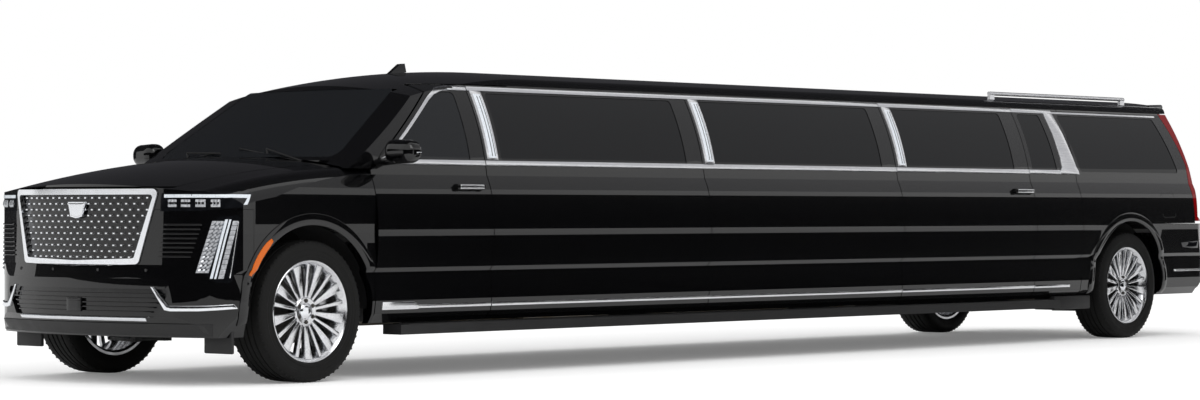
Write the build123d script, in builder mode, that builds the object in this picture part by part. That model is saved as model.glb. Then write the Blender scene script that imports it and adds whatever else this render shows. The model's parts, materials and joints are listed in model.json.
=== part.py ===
from build123d import *
from math import atan2, cos, radians, sin, sqrt, tan, degrees
import os

# A stretch limousine on a full-size sport utility body. Millimetres.
# X forward, Y to the vehicle's left, Z up. The origin is on the ground under the
# middle of the overall length.

# ---- driving dimensions ------------------------------------------------------
LENGTH = 11320.0
WHEELBASE = 9000.0
FRONT_OVERHANG = 960.0
TRACK = 1736.0
TYRE_RADIUS = 419.0
TYRE_WIDTH = 285.0
RIM_RADIUS = 316.0
ROOF_Z = 1920.0

SHUT_GAP = 7.0            # between panels that meet
HINGE_GAP = 8.0           # round the hood and the tailgate
SILL_Z = 335.0            # lower edge of doors and side panels
DOOR_TOP_Z = 1800.0
BELT_Z = 1300.0
GLASS_TOP_Z = 1765.0
GLASS_THICKNESS = 6.0
GLASS_INSET = 4.0         # glass lies this far under the outer surface
SKIN = 50.0               # thickness of bumpers and fenders
HOOD_THICKNESS = 40.0
ARCH_RADIUS = 508.0
ARCH_LIP = 72.0           # width of the moulding round a wheel arch
ARCH_LIP_PROUD = 12.0
FLOOR_Z = 452.0
FLOOR_THICKNESS = 22.0

# ---- places along the body ---------------------------------------------------
front_x = LENGTH / 2
rear_x = -LENGTH / 2
axle_f = front_x - FRONT_OVERHANG
axle_r = axle_f - WHEELBASE
wheel_y = TRACK / 2


def behind(distance):
    """X of a station given as a distance behind the front axle."""
    return axle_f - distance


# Shut lines, as distances behind the front axle.
CUT_DOOR_FRONT = 530.0
CUT_DOOR_REAR = 1556.0
CUT_MIDDLE = 3712.0
CUT_REAR_DOOR_FRONT = 5932.0
CUT_REAR_DOOR_REAR = 7660.0
CUT_QUARTER = 8312.0
DOOR_SKIN = 12.0          # a door's skin reaches this thick to its rear shut line
DOOR_STEP = 44.0          # behind the skin, the door stops this much short of it

# Half of the cabin's outer section, from the sill up: y, z, bulge of the arc from the row before.
OUTER_SIDE = (
    (946.0, SILL_Z, 0.0),
    (998.0, 392.0, 0.0),
    (1010.0, 470.0, 0.0),
    (1007.0, 556.0, 0.0),
    (993.0, 642.0, 0.0),
    (1014.0, 668.0, 0.0),
    (1010.0, 1114.0, 20.0),
    (968.0, 1230.0, 4.0),
    (963.0, 1264.0, 0.0),
    (956.0, BELT_Z, 0.0),
    (790.0, GLASS_TOP_Z, 20.0),
    (690.0, 1858.0, 16.0),
)
# The same for the inner face: y, z, bulge.
INNER_SIDE = (
    (900.0, SILL_Z, 0.0),
    (900.0, 1225.0, 0.0),
    (893.0, BELT_Z - 10.0, 0.0),
    (735.0, 1748.0, 20.0),
    (640.0, 1812.0, 8.0),
)
INNER_ROOF_Z = ROOF_Z - 54.0
SHOULDER_ROWS = 9          # rows of OUTER_SIDE that lie under the belt

# Front plan: a wide arc across the nose and a corner arc each side.
NOSE_ARC = 2600.0
NOSE_CORNER = 474.0
SIDE_LIMIT_Y = 1036.0
# Rear plan.
TAIL_ARC = 3600.0
TAIL_CORNER = 300.0

# Nose in side view on the centre line: x from the front axle, z.
NOSE_PROFILE = (
    (820.0, 1262.0),
    (905.0, 1186.0),
    (934.0, 1138.0),
    (948.0, 700.0),
    (960.0, 620.0),
    (956.0, 400.0),
    (884.0, 286.0),
)
# Tail in side view on the centre line: x behind the overall rear end, z.
TAIL_PROFILE = (
    (250.0, 1990.0),
    (262.0, 1872.0),
    (330.0, 1800.0),
    (196.0, 1360.0),
    (164.0, 1180.0),
    (176.0, 960.0),
    (60.0, 905.0),
    (0.0, 790.0),
    (22.0, 520.0),
    (150.0, 372.0),
)

HOOD_TOP_Z = 1355.0
HOOD_ARC = 6250.0          # fall of the hood along the car
HOOD_ARC_BACK = 600.0      # where it is level, behind the front axle
HOOD_CROWN_Y = 860.0
HOOD_CROWN_DROP = 76.0
FENDER_ROUND = 120.0

ROOF_ARC = 6100.0          # fall of the roof towards the windscreen
ROOF_ARC_BACK = 2200.0

# Windscreen on the centre line, distances behind the front axle.
SCREEN_FOOT = (318.0, 1360.0)
SCREEN_HEAD = (985.0, 1800.0)
SCREEN_ARC = 2600.0


# ---- small helpers -----------------------------------------------------------
def prism_xz(points, y_from, y_to, radius=0.0):
    """A side-view outline as a block from y_from to y_to."""
    with BuildPart() as block:
        with BuildSketch(Plane.XZ.offset(-y_to)) as outline:
            with BuildLine():
                Polyline(*points, close=True)
            make_face()
            if radius:
                fillet(outline.vertices(), radius)
        extrude(amount=y_to - y_from)
    return block.part


def prism_yz(points, x_from, x_to, radius=0.0):
    """A front-view outline as a block from x_from to x_to."""
    with BuildPart() as block:
        with BuildSketch(Plane.YZ.offset(x_from)) as outline:
            with BuildLine():
                Polyline(*points, close=True)
            make_face()
            if radius:
                fillet(outline.vertices(), radius)
        extrude(amount=x_to - x_from)
    return block.part


def prism_xy(points, z_from, z_to):
    """A plan outline as a block from z_from to z_to."""
    with BuildPart() as block:
        with BuildSketch(Plane.XY.offset(z_from)):
            with BuildLine():
                Polyline(*points, close=True)
            make_face()
        extrude(amount=z_to - z_from)
    return block.part


def box(x_from, x_to, y_from, y_to, z_from, z_to):
    """A plain block between two corners."""
    with BuildPart() as block:
        with Locations(((x_from + x_to) / 2, (y_from + y_to) / 2, (z_from + z_to) / 2)):
            Box(abs(x_to - x_from), abs(y_to - y_from), abs(z_to - z_from))
    return block.part


def cylinder_y(x, z, radius, y_from, y_to):
    """A round bar across the car."""
    with BuildPart() as bar:
        with BuildSketch(Plane.XZ.offset(-y_to)):
            with Locations((x, z)):
                Circle(radius)
        extrude(amount=y_to - y_from)
    return bar.part


def bar(start, end, radius):
    """A round bar between two points."""
    direction = Vector(*end) - Vector(*start)
    with BuildPart() as rod:
        with BuildSketch(Plane(origin=start, z_dir=direction)):
            Circle(radius)
        extrude(amount=direction.length)
    return rod.part


def both_sides(part):
    """A left piece with its mirror image on the right, as one compound of solids."""
    right = mirror(part, about=Plane.XZ)
    return Compound(children=[*part.solids(), *right.solids()])


def solids_of(*parts):
    """Several pieces of one node, as one compound of solids."""
    return Compound(children=[s for p in parts for s in p.solids()])


written = []


def write(name, part):
    """Labels a finished piece and writes its STEP file."""
    part.label = name
    os.makedirs("parts", exist_ok=True)
    export_step(part, f"parts/{name}.step")
    written.append(name)


# ---- the body's outer and inner forms ---------------------------------------
def side_outline(rows, top_z, inset=0.0):
    """Draws one closed section from a table of rows, both sides and the roof's crown."""
    for side in (1, -1):
        for (y0, z0, _), (y1, z1, bulge) in zip(rows, rows[1:]):
            start = (side * (y0 - inset), z0)
            end = (side * (y1 - inset), z1)
            if bulge:
                SagittaArc(start, end, -side * bulge)
            else:
                Line(start, end)
    y_sill = rows[0][0] - inset
    y_top, z_top = rows[-1][0] - inset, rows[-1][1]
    Line((-y_sill, rows[0][1]), (y_sill, rows[0][1]))
    ThreePointArc((y_top, z_top), (0, top_z), (-y_top, z_top))


def section_block(rows, top_z, x_from, x_to):
    """A section table run along the car."""
    with BuildPart() as run:
        with BuildSketch(Plane.YZ.offset(x_from)):
            with BuildLine():
                side_outline(rows, top_z)
            make_face()
        extrude(amount=x_to - x_from)
    return run.part


def plan_block(end_x, facing, wide_arc, corner, inset, x_back, z_from, z_to):
    """The plan form of one end: a wide arc, two corner arcs and straight sides.
    facing is +1 for the nose and -1 for the tail."""
    wide = wide_arc - inset
    small = corner - inset
    side_y = SIDE_LIMIT_Y - inset
    centre_x = end_x - facing * wide_arc
    corner_y = side_y - small
    corner_dx = sqrt((wide - small) ** 2 - corner_y ** 2)
    corner_x = centre_x + facing * corner_dx
    turn = atan2(corner_y, corner_dx)
    touch = (centre_x + facing * wide * cos(turn), wide * sin(turn))
    half = (radians(90) + turn) / 2
    middle = (corner_x + facing * small * cos(half), corner_y + small * sin(half))
    with BuildPart() as block:
        with BuildSketch(Plane.XY.offset(z_from)):
            with BuildLine():
                Line((x_back, side_y), (corner_x, side_y))
                ThreePointArc((corner_x, side_y), middle, touch)
                ThreePointArc(touch, (centre_x + facing * wide, 0), (touch[0], -touch[1]))
                ThreePointArc((touch[0], -touch[1]), (middle[0], -middle[1]), (corner_x, -side_y))
                Line((corner_x, -side_y), (x_back, -side_y))
                Line((x_back, -side_y), (x_back, side_y))
            make_face()
        extrude(amount=z_to - z_from)
    return block.part


def turned_cutter(profile, axis_x, outside_x):
    """What lies outside a side-view profile that is turned about an upright axis,
    on the side of the axis that the profile is on."""
    top, bottom = profile[0], profile[-1]
    points = [*profile, (outside_x, bottom[1]), (outside_x, top[1])]
    with BuildPart() as cutter:
        with BuildSketch(Plane.XZ):
            with BuildLine():
                Polyline(*points, close=True)
            make_face()
        revolve(axis=Axis((axis_x, 0, 0), (0, 0, 1)))
        add(box(axis_x, outside_x, -1300, 1300, bottom[1], top[1]), mode=Mode.INTERSECT)
    return cutter.part


def nose_cutter(inset):
    profile = [(axle_f + x - inset, z) for x, z in NOSE_PROFILE]
    profile = [(profile[0][0], 1600.0), *profile, (profile[-1][0], 200.0)]
    return turned_cutter(profile, front_x - NOSE_ARC, front_x + 500.0)


def tail_cutter(inset):
    profile = [(rear_x + x + inset, z) for x, z in TAIL_PROFILE]
    profile = [*profile, (profile[-1][0], 200.0)]
    return turned_cutter(profile, rear_x + TAIL_ARC, rear_x - 500.0)


def hood_form(inset):
    """Crowned hood and fender tops, turned about a cross axis far below."""
    centre_z = HOOD_TOP_Z - HOOD_ARC
    x0 = behind(HOOD_ARC_BACK)
    top = HOOD_TOP_Z - inset
    crown_y = HOOD_CROWN_Y - inset
    crown_z = top - HOOD_CROWN_DROP
    edge_y = SIDE_LIMIT_Y - 22.0 - inset
    edge_z = crown_z - FENDER_ROUND
    with BuildPart() as form:
        with BuildSketch(Plane.YZ.offset(x0)):
            with BuildLine():
                ThreePointArc((-crown_y, crown_z), (0, top), (crown_y, crown_z))
                for side in (1, -1):
                    SagittaArc((side * crown_y, crown_z), (side * edge_y, edge_z), side * 30.0)
                    Line((side * edge_y, edge_z), (side * edge_y, 0))
                Line((edge_y, 0), (-edge_y, 0))
            make_face()
        revolve(axis=Axis((x0, 0, centre_z), (0, 1, 0)), revolution_arc=18)
    return form.part


def clip_block(inset):
    """The nose of the car from the door shut line forward, smaller all round by inset."""
    x_back = behind(CUT_DOOR_FRONT + 120.0)
    rows = [(y - inset, z, bulge) for y, z, bulge in OUTER_SIDE[:SHOULDER_ROWS]]
    rows.append((rows[-1][0] - 8.0, 1500.0, 0.0))
    rows[0] = (rows[0][0], 280.0, 0.0)
    body = section_block(rows, 1501.0, x_back, front_x + 10.0)
    plan = plan_block(front_x, 1, NOSE_ARC, NOSE_CORNER, inset, x_back, 270.0, 1510.0)
    return body & plan & hood_form(inset) - nose_cutter(inset)


def screen_cutter(inset):
    """What lies ahead of and above the windscreen's surface."""
    (foot_back, foot_z), (head_back, head_z) = SCREEN_FOOT, SCREEN_HEAD
    slope = (head_back - foot_back) / (head_z - foot_z)
    drop = 400.0
    foot = (behind(foot_back) - inset + slope * drop, foot_z - drop)
    head = (behind(head_back) - inset - slope * drop, head_z + drop)
    points = [foot, head, (behind(-400.0) + 900.0, head[1]), (behind(-400.0) + 900.0, foot[1])]
    with BuildPart() as cutter:
        with BuildSketch(Plane.XZ):
            with BuildLine():
                Polyline(*points, close=True)
            make_face()
        revolve(axis=Axis((behind(foot_back) - SCREEN_ARC, 0, 0), (0, 0, 1)))
        add(box(behind(2500.0), front_x + 900.0, -1200, 1200, 900, 2300), mode=Mode.INTERSECT)
    return cutter.part


def roof_front_cutter(inset):
    """What lies above the roof where it falls towards the windscreen."""
    x0 = behind(ROOF_ARC_BACK)
    y_top, z_top = OUTER_SIDE[-1][0], OUTER_SIDE[-1][1] - inset
    top = ROOF_Z - inset
    with BuildPart() as form:
        with BuildSketch(Plane.YZ.offset(x0)):
            with BuildLine():
                crown = CenterArc((0, top - crown_radius()), crown_radius(), 74, 32)
                Polyline(crown @ 1, ((crown @ 1).X, 1000.0), ((crown @ 0).X, 1000.0), crown @ 0)
            make_face()
        revolve(axis=Axis((x0, 0, ROOF_Z - ROOF_ARC), (0, 1, 0)), revolution_arc=22)
    return box(x0, x0 + 2300.0, -1060, 1060, 1300, 2300) - form.part


def crown_radius():
    """Radius of the roof's crown, from the last row of the section table."""
    half, rise = OUTER_SIDE[-1][0], ROOF_Z - OUTER_SIDE[-1][1]
    return (half ** 2 + rise ** 2) / (2 * rise)


cabin_front = behind(250.0)
cabin_outer = (
    section_block(OUTER_SIDE, ROOF_Z, rear_x - 10.0, cabin_front)
    & plan_block(rear_x, -1, TAIL_ARC, TAIL_CORNER, 0.0, cabin_front + 10.0, 300.0, 2000.0)
)
cabin_outer = cabin_outer - tail_cutter(0.0) - screen_cutter(0.0) - roof_front_cutter(0.0)
cabin_inner = section_block(INNER_SIDE, INNER_ROOF_Z, rear_x - 10.0, cabin_front)
cabin_inner = cabin_inner - tail_cutter(70.0) - screen_cutter(55.0) - roof_front_cutter(54.0)
cabin_shell = cabin_outer - cabin_inner
clip_outer = clip_block(0.0)
clip_shell = clip_outer - clip_block(SKIN)


def arch_cylinder(x, radius=ARCH_RADIUS, y_from=600.0, y_to=1100.0):
    """The round space over one left wheel."""
    return cylinder_y(x, TYRE_RADIUS, radius, y_from, y_to)


def arch_lip(x, outer):
    """The moulding round a wheel arch, which stands a little proud of the panel."""
    ring = arch_cylinder(x, ARCH_RADIUS + ARCH_LIP) - arch_cylinder(x)
    grown = outer & ring
    return grown


# ---- windows: distances behind the front axle, z -----------------------------
WINDOW_FOOT_Z = 1314.0
WINDOW_HEAD_Z = 1752.0
WINDOW_ROUND = 26.0
# name: four corners front foot, front head, rear head, rear foot (distance behind the front axle)
WINDOWS = {
    "front_door": (640.0, 1250.0, 1425.0, 1425.0),
    "panel_front": (1712.0, 1712.0, 3545.0, 3545.0),
    "panel_middle": (3800.0, 3800.0, 5765.0, 5765.0),
    "rear_door": (6050.0, 6050.0, 7470.0, 7470.0),
    "panel_rear": (7715.0, 7715.0, 8020.0, 8060.0),
    "quarter": (8390.0, 8270.0, 9690.0, 9850.0),
}


def window_block(name):
    foot_front, head_front, head_rear, foot_rear = (behind(d) for d in WINDOWS[name])
    points = [
        (foot_front, WINDOW_FOOT_Z),
        (head_front, WINDOW_HEAD_Z),
        (head_rear, WINDOW_HEAD_Z),
        (foot_rear, WINDOW_FOOT_Z),
    ]
    return prism_xz(points, 600.0, 1100.0, WINDOW_ROUND)


def glass_layer(x_from, x_to):
    """The curved sheet that every left side window is cut from."""
    y0, z0 = OUTER_SIDE[9][0], OUTER_SIDE[9][1]
    y1, z1, bulge = OUTER_SIDE[10]
    near, far = GLASS_INSET, GLASS_INSET + GLASS_THICKNESS
    with BuildPart() as sheet:
        with BuildSketch(Plane.YZ.offset(x_from)):
            with BuildLine():
                SagittaArc((y0 - near, z0), (y1 - near, z1), -bulge)
                Line((y1 - near, z1), (y1 - far, z1))
                SagittaArc((y0 - far, z0), (y1 - far, z1), -bulge)
                Line((y0 - far, z0), (y0 - near, z0))
            make_face()
        extrude(amount=x_to - x_from)
    return sheet.part


side_glass_sheet = glass_layer(behind(9900.0), behind(500.0))


def glass_of(name):
    return side_glass_sheet & window_block(name)


# ---- side pieces -------------------------------------------------------------
PILLAR_FOOT = (CUT_DOOR_FRONT, 1262.0)
PILLAR_HEAD = (1236.0, DOOR_TOP_Z)
CUT_TAIL = 9990.0
half_gap = SHUT_GAP / 2

left_wall = cabin_shell & box(behind(10500.0), cabin_front, 600.0, 1100.0, SILL_Z, DOOR_TOP_Z)
under_skin = section_block(
    [(y - DOOR_SKIN, z, bulge) for y, z, bulge in OUTER_SIDE], ROOF_Z, behind(10500.0), cabin_front
)


def between(front, rear):
    """The room of one side piece between two shut lines."""
    return box(behind(rear) + half_gap, behind(front) - half_gap, 560, 1100, SILL_Z, DOOR_TOP_Z)


def door_step(rear):
    """What is cut from a door behind its skin, so that its rear end swings clear."""
    end = behind(rear) + half_gap
    return under_skin & box(end - 10, end + DOOR_STEP, 560, 1100, SILL_Z - 10, DOOR_TOP_Z + 10)


def pillar_side(gap):
    """The side-view room behind the sloping windscreen pillar."""
    (foot_back, foot_z), (head_back, head_z) = PILLAR_FOOT, PILLAR_HEAD
    rear = behind(CUT_DOOR_REAR) - 400.0
    points = [
        (behind(foot_back) + 400.0 - gap, 0.0),
        (behind(foot_back) + 400.0 - gap, foot_z - gap),
        (behind(foot_back) - gap, foot_z - gap),
        (behind(head_back) - gap, head_z - gap + half_gap),
        (rear, head_z - gap + half_gap),
        (rear, 0.0),
    ]
    return prism_xz(points, 560.0, 1100.0)


# node name: front shut line, rear shut line, window
DOORS = {
    "front_door": (CUT_DOOR_FRONT, CUT_DOOR_REAR, "front_door"),
    "rear_door": (CUT_REAR_DOOR_FRONT, CUT_REAR_DOOR_REAR, "rear_door"),
}
FIXED_PANELS = {
    "side_panels_front": (CUT_DOOR_REAR, CUT_MIDDLE, "panel_front"),
    "side_panels_middle": (CUT_MIDDLE, CUT_REAR_DOOR_FRONT, "panel_middle"),
    "side_panels_rear": (CUT_REAR_DOOR_REAR, CUT_QUARTER, "panel_rear"),
}
left_doors = {}
for name, (front, rear, window) in DOORS.items():
    with BuildPart() as door:
        add(left_wall)
        add(between(front, rear), mode=Mode.INTERSECT)
        if name == "front_door":
            add(pillar_side(half_gap), mode=Mode.INTERSECT)
        add(door_step(rear), mode=Mode.SUBTRACT)
        add(window_block(window), mode=Mode.SUBTRACT)
    left_doors[name] = door.part
    write(f"{name}_left", door.part)
    write(f"{name}_right", mirror(door.part, about=Plane.XZ))
    pane = glass_of(window)
    write(f"{name}_glass_left", pane)
    write(f"{name}_glass_right", mirror(pane, about=Plane.XZ))

rear_arch = arch_cylinder(axle_r)
fixed_panels = []
for name, (front, rear, window) in FIXED_PANELS.items():
    with BuildPart() as panel:
        add(left_wall)
        add(between(front, rear), mode=Mode.INTERSECT)
        add(window_block(window), mode=Mode.SUBTRACT)
        add(window_block("quarter"), mode=Mode.SUBTRACT)
        add(rear_arch, mode=Mode.SUBTRACT)
    fixed_panels.append(panel.part)
write("side_panels", both_sides(solids_of(*fixed_panels)))

# Quarter panels run back to the tail lamps; below the bumper line they stop behind the arch.
LAMP_FRONT = ((9822.0, DOOR_TOP_Z), (9985.0, 1385.0), (9985.0, 930.0))
BUMPER_TOP_Z = 905.0
BUMPER_FRONT = 330.0      # the rear bumper starts this far behind the rear axle
with BuildPart() as quarter:
    add(left_wall)
    outline = [
        (behind(CUT_QUARTER) - half_gap, SILL_Z),
        (behind(CUT_QUARTER) - half_gap, DOOR_TOP_Z),
        *[(behind(d) + half_gap, z) for d, z in LAMP_FRONT],
        (behind(9985.0) + half_gap, BUMPER_TOP_Z + half_gap),
        (axle_r - BUMPER_FRONT, BUMPER_TOP_Z + half_gap),
        (axle_r - BUMPER_FRONT, SILL_Z),
    ]
    add(prism_xz(outline, 600.0, 1100.0), mode=Mode.INTERSECT)
    add(window_block("quarter"), mode=Mode.SUBTRACT)
    add(rear_arch, mode=Mode.SUBTRACT)
write("quarter_panels", both_sides(quarter.part))
fixed_windows = ("panel_front", "panel_middle", "panel_rear", "quarter")
write("side_glass", both_sides(solids_of(*[glass_of(k) for k in fixed_windows])))
print("sides done")

# ---- roof, windscreen and cowl -----------------------------------------------
TAILGATE_CUT = 9930.0
TAILGATE_Y = 715.0
COWL_CUT = 455.0          # the hood ends here on the centre line
door_clear = both_sides(pillar_side(-half_gap))
with BuildPart() as roof_panel:
    add(cabin_shell)
    add(box(behind(10500.0), cabin_front, -1100, 1100, BELT_Z - 60.0, 2000), mode=Mode.INTERSECT)
    add(box(behind(10500.0), behind(PILLAR_HEAD[0]), -1100, 1100, 0, DOOR_TOP_Z + half_gap), mode=Mode.SUBTRACT)
    add(door_clear, mode=Mode.SUBTRACT)
    add(box(behind(10500.0), behind(TAILGATE_CUT) + HINGE_GAP / 2, -TAILGATE_Y - SHUT_GAP, TAILGATE_Y + SHUT_GAP,
            0, 2000), mode=Mode.SUBTRACT)

# The windscreen's outline in front view, and the sheet it is cut from.
SCREEN_OUTLINE = ((800.0, 1338.0), (650.0, 1768.0))
screen_points = [
    (SCREEN_OUTLINE[0][0], SCREEN_OUTLINE[0][1]),
    (SCREEN_OUTLINE[1][0], SCREEN_OUTLINE[1][1]),
    (-SCREEN_OUTLINE[1][0], SCREEN_OUTLINE[1][1]),
    (-SCREEN_OUTLINE[0][0], SCREEN_OUTLINE[0][1]),
]
screen_hole = prism_yz(screen_points, behind(1700.0), cabin_front + 50.0, 40.0)
windscreen = (screen_cutter(GLASS_INSET + GLASS_THICKNESS) - screen_cutter(GLASS_INSET)) & screen_hole
hood_gap_form = clip_block(-SHUT_GAP)
roof_panel = roof_panel.part - screen_hole - hood_gap_form
write("windscreen", windscreen)
print("roof done")

# ---- nose: hood, fenders, bumper, grilles and lamps --------------------------
HOOD_REAR_STEP = 84.0     # the hood ends this far ahead of the windscreen's foot
HOOD_REAR_Y = 770.0
HOOD_SWING_GAP = 16.0     # room behind the hood's rear edge, which moves back as it opens
HOOD_FRONT_Y = 690.0
HOOD_LOW_Z = 1152.0
BUMPER_REAR = 470.0       # the front bumper starts this far ahead of the axle
BUMPER_LINE_Z = 1018.0
GRILLE_TOP = (636.0, 1140.0)
GRILLE_FOOT = (508.0, 702.0)
GRILLE_DIP_Z = 688.0
GRILLE_FRAME = 34.0
GRILLE_PROUD = 10.0
LOWER_GRILLE = ((730.0, 560.0), (620.0, 398.0))
# Side-view outlines: distance ahead of the front axle, z.
HEADLAMP = ((436.0, 1124.0), (545.0, 1034.0), (760.0, 1012.0), (990.0, 1004.0), (990.0, 1108.0), (700.0, 1122.0))
UPRIGHT_LAMP = ((566.0, 990.0), (690.0, 974.0), (768.0, 670.0), (700.0, 600.0), (616.0, 596.0))
LAMP_DEPTH = 44.0

hood_rear_arc = SCREEN_ARC + HOOD_REAR_STEP


def hood_plan(gap):
    """The hood's room in plan, larger all round by gap."""
    centre_x = behind(SCREEN_FOOT[0]) - SCREEN_ARC
    radius = hood_rear_arc - gap
    side_y = HOOD_REAR_Y + gap
    side_x = centre_x + sqrt(radius ** 2 - side_y ** 2)
    with BuildPart() as room:
        with BuildSketch(Plane.XY.offset(HOOD_LOW_Z - gap)):
            with BuildLine():
                ThreePointArc((side_x, side_y), (centre_x + radius, 0), (side_x, -side_y))
                Polyline(
                    (side_x, -side_y),
                    (front_x - 200.0, -HOOD_FRONT_Y - gap),
                    (front_x + 100.0, -HOOD_FRONT_Y - gap),
                    (front_x + 100.0, HOOD_FRONT_Y + gap),
                    (front_x - 200.0, HOOD_FRONT_Y + gap),
                    (side_x, side_y),
                )
            make_face()
        extrude(amount=500.0)
    return room.part


with BuildPart() as hood:
    add(clip_outer)
    add(clip_block(HOOD_THICKNESS), mode=Mode.SUBTRACT)
    add(hood_plan(0.0), mode=Mode.INTERSECT)
write("hood", hood.part)
write("roof_panel", roof_panel - hood_plan(HOOD_SWING_GAP))

with BuildPart() as cowl_panel:
    add(clip_block(10.0))
    add(clip_block(SKIN), mode=Mode.SUBTRACT)
    add(hood_plan(HINGE_GAP), mode=Mode.SUBTRACT)
    add(box(behind(430.0), behind(200.0), -HOOD_REAR_Y, HOOD_REAR_Y, 1150, 1500), mode=Mode.INTERSECT)
write("cowl_panel", cowl_panel.part)


def grille_outline(shrink):
    """The grille's outline in front view, smaller all round by shrink."""
    top_y, top_z = GRILLE_TOP
    foot_y, foot_z = GRILLE_FOOT
    return [
        (top_y - shrink, top_z - shrink),
        (foot_y - shrink, foot_z + shrink),
        (0.0, GRILLE_DIP_Z + shrink),
        (-foot_y + shrink, foot_z + shrink),
        (-top_y + shrink, top_z - shrink),
    ]


def lower_grille_outline(shrink):
    (top_y, top_z), (foot_y, foot_z) = LOWER_GRILLE
    return [
        (top_y - shrink, top_z - shrink),
        (foot_y - shrink, foot_z + shrink),
        (-foot_y + shrink, foot_z + shrink),
        (-top_y + shrink, top_z - shrink),
    ]


nose_from, nose_to = front_x - 500.0, front_x + 60.0
grille_room = prism_yz(grille_outline(0.0), nose_from, nose_to, 30.0)
grille_inside = prism_yz(grille_outline(GRILLE_FRAME), nose_from, nose_to, 18.0)
lower_grille_room = prism_yz(lower_grille_outline(0.0), nose_from, nose_to, 24.0)
headlamp_room = prism_xz([(axle_f + x, z) for x, z in HEADLAMP], GRILLE_TOP[0] + 8.0, 1100.0, 12.0)
upright_room = prism_xz([(axle_f + x, z) for x, z in UPRIGHT_LAMP], 600.0, 1100.0, 22.0)
upright_room = upright_room - box(0, front_x + 100, 0, 790, 0, 2000)

with BuildPart() as grille_frame:
    add(clip_block(-GRILLE_PROUD))
    add(clip_block(SKIN), mode=Mode.SUBTRACT)
    add(prism_yz(grille_outline(1.0), nose_from, nose_to, 30.0), mode=Mode.INTERSECT)
    add(grille_inside, mode=Mode.SUBTRACT)
write("grille_frame", grille_frame.part)

with BuildPart() as grille:
    add(clip_block(24.0))
    add(clip_block(40.0), mode=Mode.SUBTRACT)
    add(prism_yz(grille_outline(GRILLE_FRAME + 0.5), nose_from, nose_to, 18.0), mode=Mode.INTERSECT)
write("grille", grille.part)

with BuildPart() as lower_grille:
    add(clip_block(20.0))
    add(clip_block(36.0), mode=Mode.SUBTRACT)
    add(prism_yz(lower_grille_outline(1.0), nose_from, nose_to, 24.0), mode=Mode.INTERSECT)
write("lower_grille", lower_grille.part)

lamp_layer = clip_outer - clip_block(LAMP_DEPTH)
with BuildPart() as headlamp:
    add(lamp_layer)
    add(headlamp_room, mode=Mode.INTERSECT)
    add(grille_room, mode=Mode.SUBTRACT)
write("headlamps", both_sides(headlamp.part))
with BuildPart() as upright_lamp:
    add(lamp_layer)
    add(upright_room, mode=Mode.INTERSECT)
write("upright_lamps", both_sides(upright_lamp.part))

front_arch = arch_cylinder(axle_f)
BUMPER_LOW_Z = 270.0
bumper_side = [
    (axle_f + BUMPER_REAR, 200.0),
    (axle_f + BUMPER_REAR, BUMPER_LINE_Z),
    (front_x + 60.0, BUMPER_LINE_Z),
    (front_x + 60.0, 200.0),
]
bumper_rooms = [both_sides(room) for room in (headlamp_room, upright_room, front_arch)]
with BuildPart() as front_bumper:
    add(clip_shell)
    add(prism_xz(bumper_side, -1100.0, 1100.0), mode=Mode.INTERSECT)
    add(prism_yz(grille_outline(-2.0), nose_from, nose_to, 30.0), mode=Mode.SUBTRACT)
    add(lower_grille_room, mode=Mode.SUBTRACT)
    for room in bumper_rooms:
        add(room, mode=Mode.SUBTRACT)
write("front_bumper", front_bumper.part)

with BuildPart() as fender:
    add(clip_shell)
    add(box(behind(CUT_DOOR_FRONT) + half_gap, front_x + 60.0, 500, 1100, SILL_Z, 1500), mode=Mode.INTERSECT)
    add(box(axle_f + BUMPER_REAR - 2.0, front_x + 60.0, 500, 1100, 200, BUMPER_LINE_Z + 2.0), mode=Mode.SUBTRACT)
    add(hood_plan(HINGE_GAP), mode=Mode.SUBTRACT)
    add(box(behind(700.0), behind(200.0), 0, HOOD_REAR_Y + 2, 1000, 1500), mode=Mode.SUBTRACT)
    add(headlamp_room, mode=Mode.SUBTRACT)
    add(prism_yz(grille_outline(-2.0), nose_from, nose_to, 30.0), mode=Mode.SUBTRACT)
    add(front_arch, mode=Mode.SUBTRACT)
write("front_fenders", both_sides(fender.part))
print("nose done")

# ---- tail: tailgate, lamps and bumper ----------------------------------------
TAIL_GLASS = ((640.0, 1752.0), (690.0, 1385.0))
TAILGATE_LOW_Z = 912.0
TAIL_LAMP_FOOT_Z = 926.0
tail_from, tail_to = rear_x - 60.0, behind(9700.0)
tail_glass_points = [
    (TAIL_GLASS[0][0], TAIL_GLASS[0][1]),
    (TAIL_GLASS[1][0], TAIL_GLASS[1][1]),
    (-TAIL_GLASS[1][0], TAIL_GLASS[1][1]),
    (-TAIL_GLASS[0][0], TAIL_GLASS[0][1]),
]
tail_hole = prism_yz(tail_glass_points, tail_from, tail_to, 40.0)
with BuildPart() as tailgate:
    add(cabin_shell)
    add(box(rear_x - 20.0, behind(TAILGATE_CUT) - HINGE_GAP / 2, -TAILGATE_Y, TAILGATE_Y,
            TAILGATE_LOW_Z, 2000), mode=Mode.INTERSECT)
    add(tail_hole, mode=Mode.SUBTRACT)
write("tailgate", tailgate.part)
with BuildPart() as tailgate_glass:
    add(tail_cutter(GLASS_INSET + GLASS_THICKNESS))
    add(tail_cutter(GLASS_INSET), mode=Mode.SUBTRACT)
    add(tail_hole, mode=Mode.INTERSECT)
write("tailgate_glass", tailgate_glass.part)

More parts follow.
